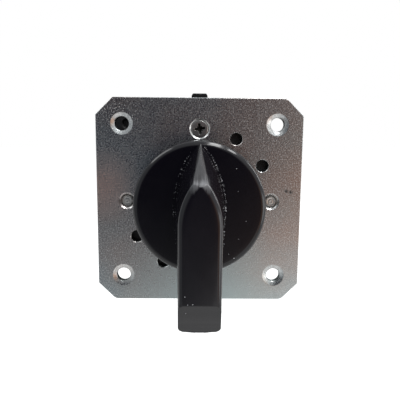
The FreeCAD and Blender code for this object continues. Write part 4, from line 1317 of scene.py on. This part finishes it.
def make_floor(drop):
    """Pale floor, white to the camera and light grey in metal and gloss, that keeps a soft
    shadow."""
    low = CAD_BOX[0][2] - drop
    x, y = np.meshgrid(
        np.linspace(-FLOOR_REACH, FLOOR_REACH, FLOOR_COUNT),
        np.linspace(-FLOOR_FRONT, FLOOR_REACH, FLOOR_COUNT))
    grid = np.stack([x, y, np.full_like(x, low / MM)], -1)
    material = bpy.data.materials.new("White floor")
    tree = start_tree(material)
    rays = add_node(tree, "ShaderNodeLightPath").outputs
    mirrored = add_node(tree, "ShaderNodeMath", {
        0: rays["Is Glossy Ray"], 1: rays["Is Transmission Ray"]}, operation="MAXIMUM")
    mirrored = add_node(tree, "ShaderNodeMath", {
        0: mirrored, 1: MIRRORED_GLOW}, operation="MULTIPLY")
    seen = add_node(tree, "ShaderNodeMath", {
        0: rays["Is Camera Ray"], 1: FLOOR_GLOW}, operation="MULTIPLY")
    lift = add_node(tree, "ShaderNodeMath", {0: seen, 1: mirrored}, operation="MAXIMUM")
    paint = add_node(tree, "ShaderNodeBsdfDiffuse", {"Color": (FLOOR_PAINT,) * 3})
    glow = add_node(tree, "ShaderNodeEmission", {
        "Color": (1.0, 1.0, 1.0), "Strength": lift})
    both = add_node(tree, "ShaderNodeAddShader", {0: paint, 1: glow})
    add_node(tree, "ShaderNodeOutputMaterial", {"Surface": both})
    floor = new_piece("floor", [surface(grid, False)], material)


class CAMSWITCH_OT_stage(bpy.types.Operator):
    """Set the camera, the lamps, the surroundings and the floor"""
    bl_idname = "cam_switch.stage"
    bl_label = "Stage"

    def execute(self, context):
        look = context.scene.switch_stage
        make_camera()
        make_world()
        make_floor(look.floor_drop)
        for name, *place, share in LAMPS:
            make_lamp(name, *place, look.strips * share)
        return {"FINISHED"}


class CAMSWITCH_PT_panel(bpy.types.Panel):
    """Lists the switch's pieces in the 3D view's sidebar"""
    bl_idname = "CAMSWITCH_PT_panel"
    bl_label = "Rotary cam switch"
    bl_space_type = "VIEW_3D"
    bl_region_type = "UI"
    bl_category = "Cam switch"

    def draw(self, context):
        for operator in OPERATORS:
            self.layout.operator(operator.bl_idname)
        for name, group in SETTINGS.items():
            settings = getattr(context.scene, name)
            box = self.layout.box()
            for key in group.__annotations__:
                box.prop(settings, key)


SETTINGS = {
    "switch_knob": CAMSWITCH_PG_knob,
    "switch_plate": CAMSWITCH_PG_plate,
    "switch_body": CAMSWITCH_PG_body,
    "switch_stage": CAMSWITCH_PG_stage,
}
OPERATORS = (
    CAMSWITCH_OT_stage,
    CAMSWITCH_OT_knob,
    CAMSWITCH_OT_plate,
    CAMSWITCH_OT_fasteners,
    CAMSWITCH_OT_body,
    CAMSWITCH_OT_works,
)


def register():
    """Registers the settings, each kept on the scene, the operators and the panel."""
    for group in SETTINGS.values():
        bpy.utils.register_class(group)
    for name, group in SETTINGS.items():
        setattr(bpy.types.Scene, name, PointerProperty(type=group))
    for operator in OPERATORS:
        bpy.utils.register_class(operator)
    bpy.utils.register_class(CAMSWITCH_PT_panel)


def unregister():
    """Undoes register in the opposite order."""
    bpy.utils.unregister_class(CAMSWITCH_PT_panel)
    for operator in reversed(OPERATORS):
        bpy.utils.unregister_class(operator)
    for name in SETTINGS:
        delattr(bpy.types.Scene, name)
    for group in SETTINGS.values():
        bpy.utils.unregister_class(group)


def main():
    """Makes every piece and the stage."""
    register()
    bpy.context.scene.view_settings.view_transform = "Standard"
    for operator in OPERATORS:
        group, name = operator.bl_idname.split(".")
        getattr(getattr(bpy.ops, group), name)()


if __name__ == "__main__":
    main()
